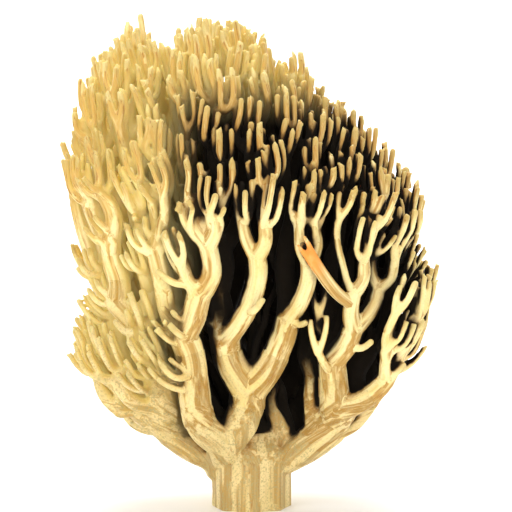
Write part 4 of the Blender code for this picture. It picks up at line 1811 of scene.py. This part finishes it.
def flesh_group():
    """Colour, roughness and height of the flesh, from what is written on its corners, with the
    shade between the branches painted into the colour.
    """
    group = bpy.data.node_groups.new("flesh_look", "ShaderNodeTree")
    for name in COLOURS:
        group.interface.new_socket(name, in_out="INPUT", socket_type="NodeSocketColor")
    group.interface.new_socket("Stipple", in_out="INPUT", socket_type="NodeSocketFloat")
    group.interface.new_socket("Color", in_out="OUTPUT", socket_type="NodeSocketColor")
    for name in ("Roughness", "Height"):
        group.interface.new_socket(name, in_out="OUTPUT", socket_type="NodeSocketFloat")
    nodes = Nodes(group)
    given = nodes.add("NodeGroupInput").outputs
    grain = nodes.attribute("grain").outputs["Vector"]
    back, shade, inner, wound = (nodes.attribute(name).outputs["Fac"]
                                 for name in ("back", "shade", "inner", "torn"))
    place = nodes.add("ShaderNodeTexCoord").outputs["Object"]
    across = nodes.add("ShaderNodeSeparateXYZ")
    nodes.join(place, across.inputs["Vector"])
    # The heart of the crown, where the painted shade turns black and the grooves' painted shade
    # darker.
    heart = nodes.math("MULTIPLY", nodes.ramp(across.outputs["X"], *HEART_ACROSS),
                       nodes.ramp(across.outputs["Z"], *HEART_HEIGHT))
    # The colour of the painted shade in the grooves: pale in the outer crown, brown in the
    # heart.
    shaded = nodes.mix(heart, given["Soft Shaded"], given["Shaded"])

    streak = nodes.noise(grain, *STREAK_NOISE)
    band = nodes.noise(grain, *BAND_NOISE)
    thread = nodes.noise(grain, *THREAD_NOISE)
    blotch = nodes.noise(place, *BLOTCH_NOISE)
    speck = nodes.noise(place, *SPECK_NOISE)

    warm = nodes.math("ADD", nodes.ramp(streak, *WARM_STREAKS),
                      nodes.ramp(blotch, *WARM_BLOTCHES))
    colour = nodes.mix(warm, given["Light"], given["Warm"])
    ochre = nodes.math("MULTIPLY", nodes.ramp(band, *OCHRE_BANDS),
                       nodes.ramp(streak, *OCHRE_STREAKS))
    browner = nodes.mix(nodes.math("MULTIPLY", heart, HEART_BROWN), given["Streak"],
                        given["Shaded"])
    colour = nodes.mix(ochre, colour, browner)
    colour = nodes.mix(nodes.ramp(back, *TIP_LENGTH), colour, given["Tip"])
    line = nodes.math("MULTIPLY", nodes.ramp(thread, *THREADS),
                      nodes.ramp(band, *THREAD_BANDS))
    colour = nodes.mix(line, colour, given["Shaded"])
    dots = nodes.math("ADD", nodes.ramp(speck, *DOTS), nodes.ramp(band, *DOT_BANDS))
    dots = nodes.math("MULTIPLY", dots, given["Stipple"])
    colour = nodes.mix(dots, colour, given["Speck"])
    colour = nodes.mix(wound, colour, given["Wound"])
    # Painted shade: where a corner is closed in, near by or from far away, the colour darkens to
    # the grooves' shade, then to the pale ochre deep shade of the outer crown.
    groove_shade = nodes.math("MAXIMUM", nodes.ramp(shade, *GROOVE_SHADE_NEAR),
                        nodes.ramp(inner, *GROOVE_SHADE_FAR))
    colour = nodes.mix(groove_shade, colour, shaded)
    soft = nodes.math("MAXIMUM", nodes.ramp(shade, *SOFT_SHADE_NEAR), nodes.ramp(inner, *SOFT_SHADE_FAR))
    colour = nodes.mix(soft, colour, given["Soft Deep"])
    # In the heart the shade between the branches is painted black, and there the flesh is also
    # rougher.
    black_shade = nodes.math("MAXIMUM", nodes.ramp(shade, *BLACK_SHADE_NEAR),
                       nodes.ramp(inner, *BLACK_SHADE_FAR))
    black_shade = nodes.math("MULTIPLY", black_shade, heart)
    colour = nodes.mix(black_shade, colour, given["Deep"])

    rough = nodes.math("MAXIMUM", nodes.ramp(streak, *ROUGHNESS), black_shade)
    height = nodes.math("ADD", nodes.math("MULTIPLY", streak, STREAK_HEIGHT),
                        nodes.math("MULTIPLY", speck, SPECK_HEIGHT))
    made = nodes.add("NodeGroupOutput").inputs
    nodes.join(colour, made["Color"])
    nodes.join(rough, made["Roughness"])
    nodes.join(height, made["Height"])
    return group


def flesh_material(name, light, warm, streak, stipple):
    """Fungus flesh in its own pair of colours, with its own streaks and dots."""
    chosen = settings()
    material = bpy.data.materials.new(name)
    material.use_nodes = True
    tree = material.node_tree
    shader = tree.nodes["Principled BSDF"].inputs
    look = tree.nodes.new("ShaderNodeGroup")
    look.node_tree = bpy.data.node_groups.get("flesh_look") or flesh_group()
    for socket, colour in zip(COLOURS, (light, warm, chosen.tip, chosen.wound, chosen.speck,
                                        streak, chosen.shaded, chosen.deep,
                                        chosen.soft_shaded, chosen.soft_deep)):
        look.inputs[socket].default_value = (*colour, 1.0)
    look.inputs["Stipple"].default_value = stipple
    bump = tree.nodes.new("ShaderNodeBump")
    bump.inputs["Strength"].default_value = BUMP_STRENGTH
    bump.inputs["Distance"].default_value = BUMP_HEIGHT
    tree.links.new(look.outputs["Height"], bump.inputs["Height"])
    tree.links.new(bump.outputs["Normal"], shader["Normal"])
    tree.links.new(look.outputs["Color"], shader["Base Color"])
    tree.links.new(look.outputs["Roughness"], shader["Roughness"])
    shader["Specular IOR Level"].default_value = SHINE
    shader["Subsurface Weight"].default_value = TRANSLUCENCE
    shader["Subsurface Radius"].default_value = TRANSLUCENT_COLOURS
    shader["Subsurface Scale"].default_value = TRANSLUCENT_DEPTH
    return material


def finish_pieces(kind, material):
    """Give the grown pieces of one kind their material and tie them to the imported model."""
    flesh = grow_flesh()
    names = [name for name in flesh if name.startswith(kind)]
    if not names:
        raise RuntimeError("no %s was grown" % kind)
    for name in names:
        thing = flesh[name]
        thing.data.materials.clear()
        thing.data.materials.append(material)
        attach(thing, "root")
        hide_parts(name)


def stage_mesh(width, front, rear, height, bend):
    """A floor that curves up into a backdrop."""
    profile = [(front, 0.0), (rear - bend, 0.0)]
    for k in range(1, STAGE_BEND_STEPS + 1):
        turn = math.pi / 2 * k / STAGE_BEND_STEPS
        profile.append((rear - bend + bend * math.sin(turn), bend - bend * math.cos(turn)))
    profile.append((rear, height))
    verts = [(side * width / 2, y, z) for y, z in profile for side in (-1, 1)]
    faces = [(2 * k, 2 * k + 1, 2 * k + 3, 2 * k + 2) for k in range(len(profile) - 1)]
    mesh = bpy.data.meshes.new("backdrop")
    mesh.from_pydata(verts, [], faces)
    mesh.shade_smooth()
    return mesh


def paper_material():
    """Plain pale paper with the faintest mottling."""
    material = bpy.data.materials.new("paper")
    material.use_nodes = True
    tree = material.node_tree
    nodes = Nodes(tree)
    shader = tree.nodes["Principled BSDF"]
    place = nodes.add("ShaderNodeTexCoord").outputs["Object"]
    mottle = nodes.noise(place, *PAPER_NOISE)
    nodes.join(nodes.mix(mottle, *PAPER), shader.inputs["Base Color"])
    shader.inputs["Roughness"].default_value = PAPER_ROUGHNESS
    return material


def soft_light(name, place, target, size, colour):
    """A round soft light that looks at a place, with the power that the settings give it."""
    light = bpy.data.lights.new(name, "AREA")
    light.shape = "DISK"
    light.size = size
    light.energy = getattr(settings(), name + "_power")
    light.color = colour
    thing = bpy.data.objects.new(name, light)
    thing.location = place
    look = Vector(target) - Vector(place)
    thing.rotation_euler = look.to_track_quat("-Z", "Y").to_euler()
    bpy.context.scene.collection.objects.link(thing)


def camera_place():
    """Square on to the front, a little above the level of the crown's middle."""
    chosen = settings()
    distance = chosen.frame_width * chosen.lens / SENSOR
    target = Vector((chosen.frame_x, 0.0, chosen.frame_z))
    tilt = chosen.camera_height
    return target + Vector((0, -math.cos(tilt), math.sin(tilt))) * distance


def add_camera():
    """The camera of the picture."""
    chosen = settings()
    camera = bpy.data.cameras.new("camera")
    camera.lens = chosen.lens
    camera.sensor_width = SENSOR
    camera.dof.use_dof = False
    camera.clip_start = 0.01
    thing = bpy.data.objects.new("camera", camera)
    thing.location = camera_place()
    thing.rotation_euler = (math.pi / 2 - chosen.camera_height, 0, 0)
    bpy.context.scene.collection.objects.link(thing)
    bpy.context.scene.camera = thing


def length_value(name, description, default):
    """A size in the sidebar."""
    return FloatProperty(name=name, description=description, default=default,
                         unit="LENGTH", precision=5)


def colour_value(name, description, default):
    """A colour in the sidebar."""
    return FloatVectorProperty(name=name, description=description, default=default,
                               subtype="COLOR")


def power_value(name, description, default):
    """The power of a light in the sidebar."""
    return FloatProperty(name=name, description=description, default=default)


class CoralFungusSettings(bpy.types.PropertyGroup):
    """Sizes, colours, picture frame and lights that a user may change"""

    voxel: length_value(
        "Skin fineness", "Size of the grid that melts the tubes together", 0.00046)
    smoothing: IntProperty(
        name="Smoothing", description="Rounds of smoothing once the tubes are melted",
        default=3)
    triangles: IntProperty(
        name="Facets", description="Facets of all pieces together", default=620000)
    finger_radius: length_value("Finger radius", "Half the thickness of a finger", 0.00096)
    rib_height: length_value(
        "Rib height", "Height of the soft ribs along the stout branches", 0.00016)
    base_light: colour_value("Base, light", "Lightest colour of the base", (0.81, 0.655, 0.32))
    base_warm: colour_value("Base, warm", "Warmer colour of the base", (0.67, 0.51, 0.20))
    crown_light: colour_value("Crown, light", "Lightest colour of the crown", (0.92, 0.79, 0.41))
    crown_warm: colour_value("Crown, warm", "Warmer colour of the crown", (0.80, 0.62, 0.23))
    tip: colour_value("Finger tips", "Colour of the finger tips", (0.55, 0.44, 0.16))
    wound: colour_value("Wound", "Colour of the broken branch's end", (0.90, 0.34, 0.07))
    speck: colour_value("Specks", "Colour of the fine dots on the base", (0.44, 0.36, 0.16))
    streak: colour_value(
        "Trunk streaks", "Colour of the long streaks on the trunks", (0.44, 0.225, 0.013))
    pale_streak: colour_value(
        "Pale streaks", "Colour of the streaks on the base and the crown",
        (0.60, 0.37, 0.085))
    # Painted shade: the colours that the flesh darkens to where it is closed in between the
    # branches. The grooves' colour also draws the thin lines and browns the streaks in the
    # heart.
    shaded: colour_value(
        "Grooves", "Colour of grooves in the middle of the crown", (0.36, 0.15, 0.025))
    deep: colour_value(
        "Gaps", "Colour deep between the branches of the middle", (0.010, 0.007, 0.004))
    soft_shaded: colour_value(
        "Outer grooves", "Colour of grooves in the outer crown", (0.77, 0.60, 0.20))
    soft_deep: colour_value(
        "Outer gaps", "Colour deep between the branches of the outer crown",
        (0.88, 0.74, 0.33))
    frame_width: length_value("Frame width", "Width of the picture at the fungus", 0.1526)
    frame_x: length_value("Frame across", "Where the picture's middle lies across", -0.0036)
    frame_z: length_value("Frame height", "Where the picture's middle lies in height", 0.0751)
    lens: FloatProperty(
        name="Lens", description="Focal length in millimetres", default=135.0)
    camera_height: FloatProperty(
        name="Camera tilt", description="How far the camera looks down",
        default=math.radians(4.0), subtype="ANGLE")
    key_power: power_value("Key light", "Power of the light on the left", 1.6)
    fill_power: power_value("Fill light", "Power of the light at the front", 1.8)
    top_power: power_value("Top light", "Power of the light above", 1.4)
    wall_power: power_value("Backdrop light", "Power of the light on the backdrop", 9.0)


class CORAL_OT_stump(bpy.types.Operator):
    """Make the thick pale base with its first arms"""

    bl_idname = "coral.stump"
    bl_label = "Base"

    def execute(self, context):
        chosen = settings()
        material = flesh_material("base_flesh", chosen.base_light, chosen.base_warm,
                                  chosen.pale_streak, BASE_DOTS)
        finish_pieces("stump", material)
        return {"FINISHED"}


class CORAL_OT_trunks(bpy.types.Operator):
    """Make the stout branches that rise from the base"""

    bl_idname = "coral.trunks"
    bl_label = "Trunks"

    def execute(self, context):
        chosen = settings()
        material = flesh_material("trunk_flesh", chosen.base_light, chosen.crown_warm,
                                  chosen.streak, TRUNK_DOTS)
        finish_pieces("trunk", material)
        return {"FINISHED"}


class CORAL_OT_branches(bpy.types.Operator):
    """Make the branches of the crown with their clusters of fingers"""

    bl_idname = "coral.branches"
    bl_label = "Branches"

    def execute(self, context):
        chosen = settings()
        material = flesh_material("crown_flesh", chosen.crown_light, chosen.crown_warm,
                                  chosen.pale_streak, CROWN_DOTS)
        finish_pieces("branch", material)
        return {"FINISHED"}


class CORAL_OT_stage(bpy.types.Operator):
    """Make the pale floor and backdrop, the lights and the camera"""

    bl_idname = "coral.stage"
    bl_label = "Stage"

    def execute(self, context):
        mesh = stage_mesh(width=3.0, front=-1.2, rear=0.9, height=1.6, bend=0.5)
        floor = bpy.data.objects.new("backdrop", mesh)
        floor.data.materials.append(paper_material())
        bpy.context.scene.collection.objects.link(floor)
        for light in LIGHTS:
            soft_light(*light)
        world = bpy.data.worlds.new("studio")
        world.use_nodes = True
        ambient = world.node_tree.nodes["Background"].inputs
        ambient["Color"].default_value = (*WHITE, 1.0)
        ambient["Strength"].default_value = WORLD_STRENGTH
        bpy.context.scene.world = world
        bpy.context.scene.view_settings.view_transform = "Standard"
        add_camera()
        return {"FINISHED"}


class CORAL_PT_panel(bpy.types.Panel):
    """The fungus's values and steps"""

    bl_label = "Coral fungus"
    bl_space_type = "VIEW_3D"
    bl_region_type = "UI"
    bl_category = "Coral fungus"

    def draw(self, context):
        values = context.scene.coral_fungus
        for name in values.bl_rna.properties.keys():
            if name not in ("rna_type", "name"):
                self.layout.prop(values, name)
        for step in STEPS:
            self.layout.operator(step.bl_idname)


STEPS = (CORAL_OT_stump, CORAL_OT_trunks, CORAL_OT_branches, CORAL_OT_stage)
CLASSES = (CoralFungusSettings, *STEPS, CORAL_PT_panel)


def register():
    """Make the classes and the sidebar's values known to Blender."""
    for kind in CLASSES:
        bpy.utils.register_class(kind)
    bpy.types.Scene.coral_fungus = PointerProperty(type=CoralFungusSettings)


def unregister():
    """Take them back out."""
    del bpy.types.Scene.coral_fungus
    for kind in reversed(CLASSES):
        bpy.utils.unregister_class(kind)


def main():
    """Make the whole scene."""
    register()
    bpy.ops.coral.stump()
    bpy.ops.coral.trunks()
    bpy.ops.coral.branches()
    bpy.ops.coral.stage()


if __name__ == "__main__":
    main()
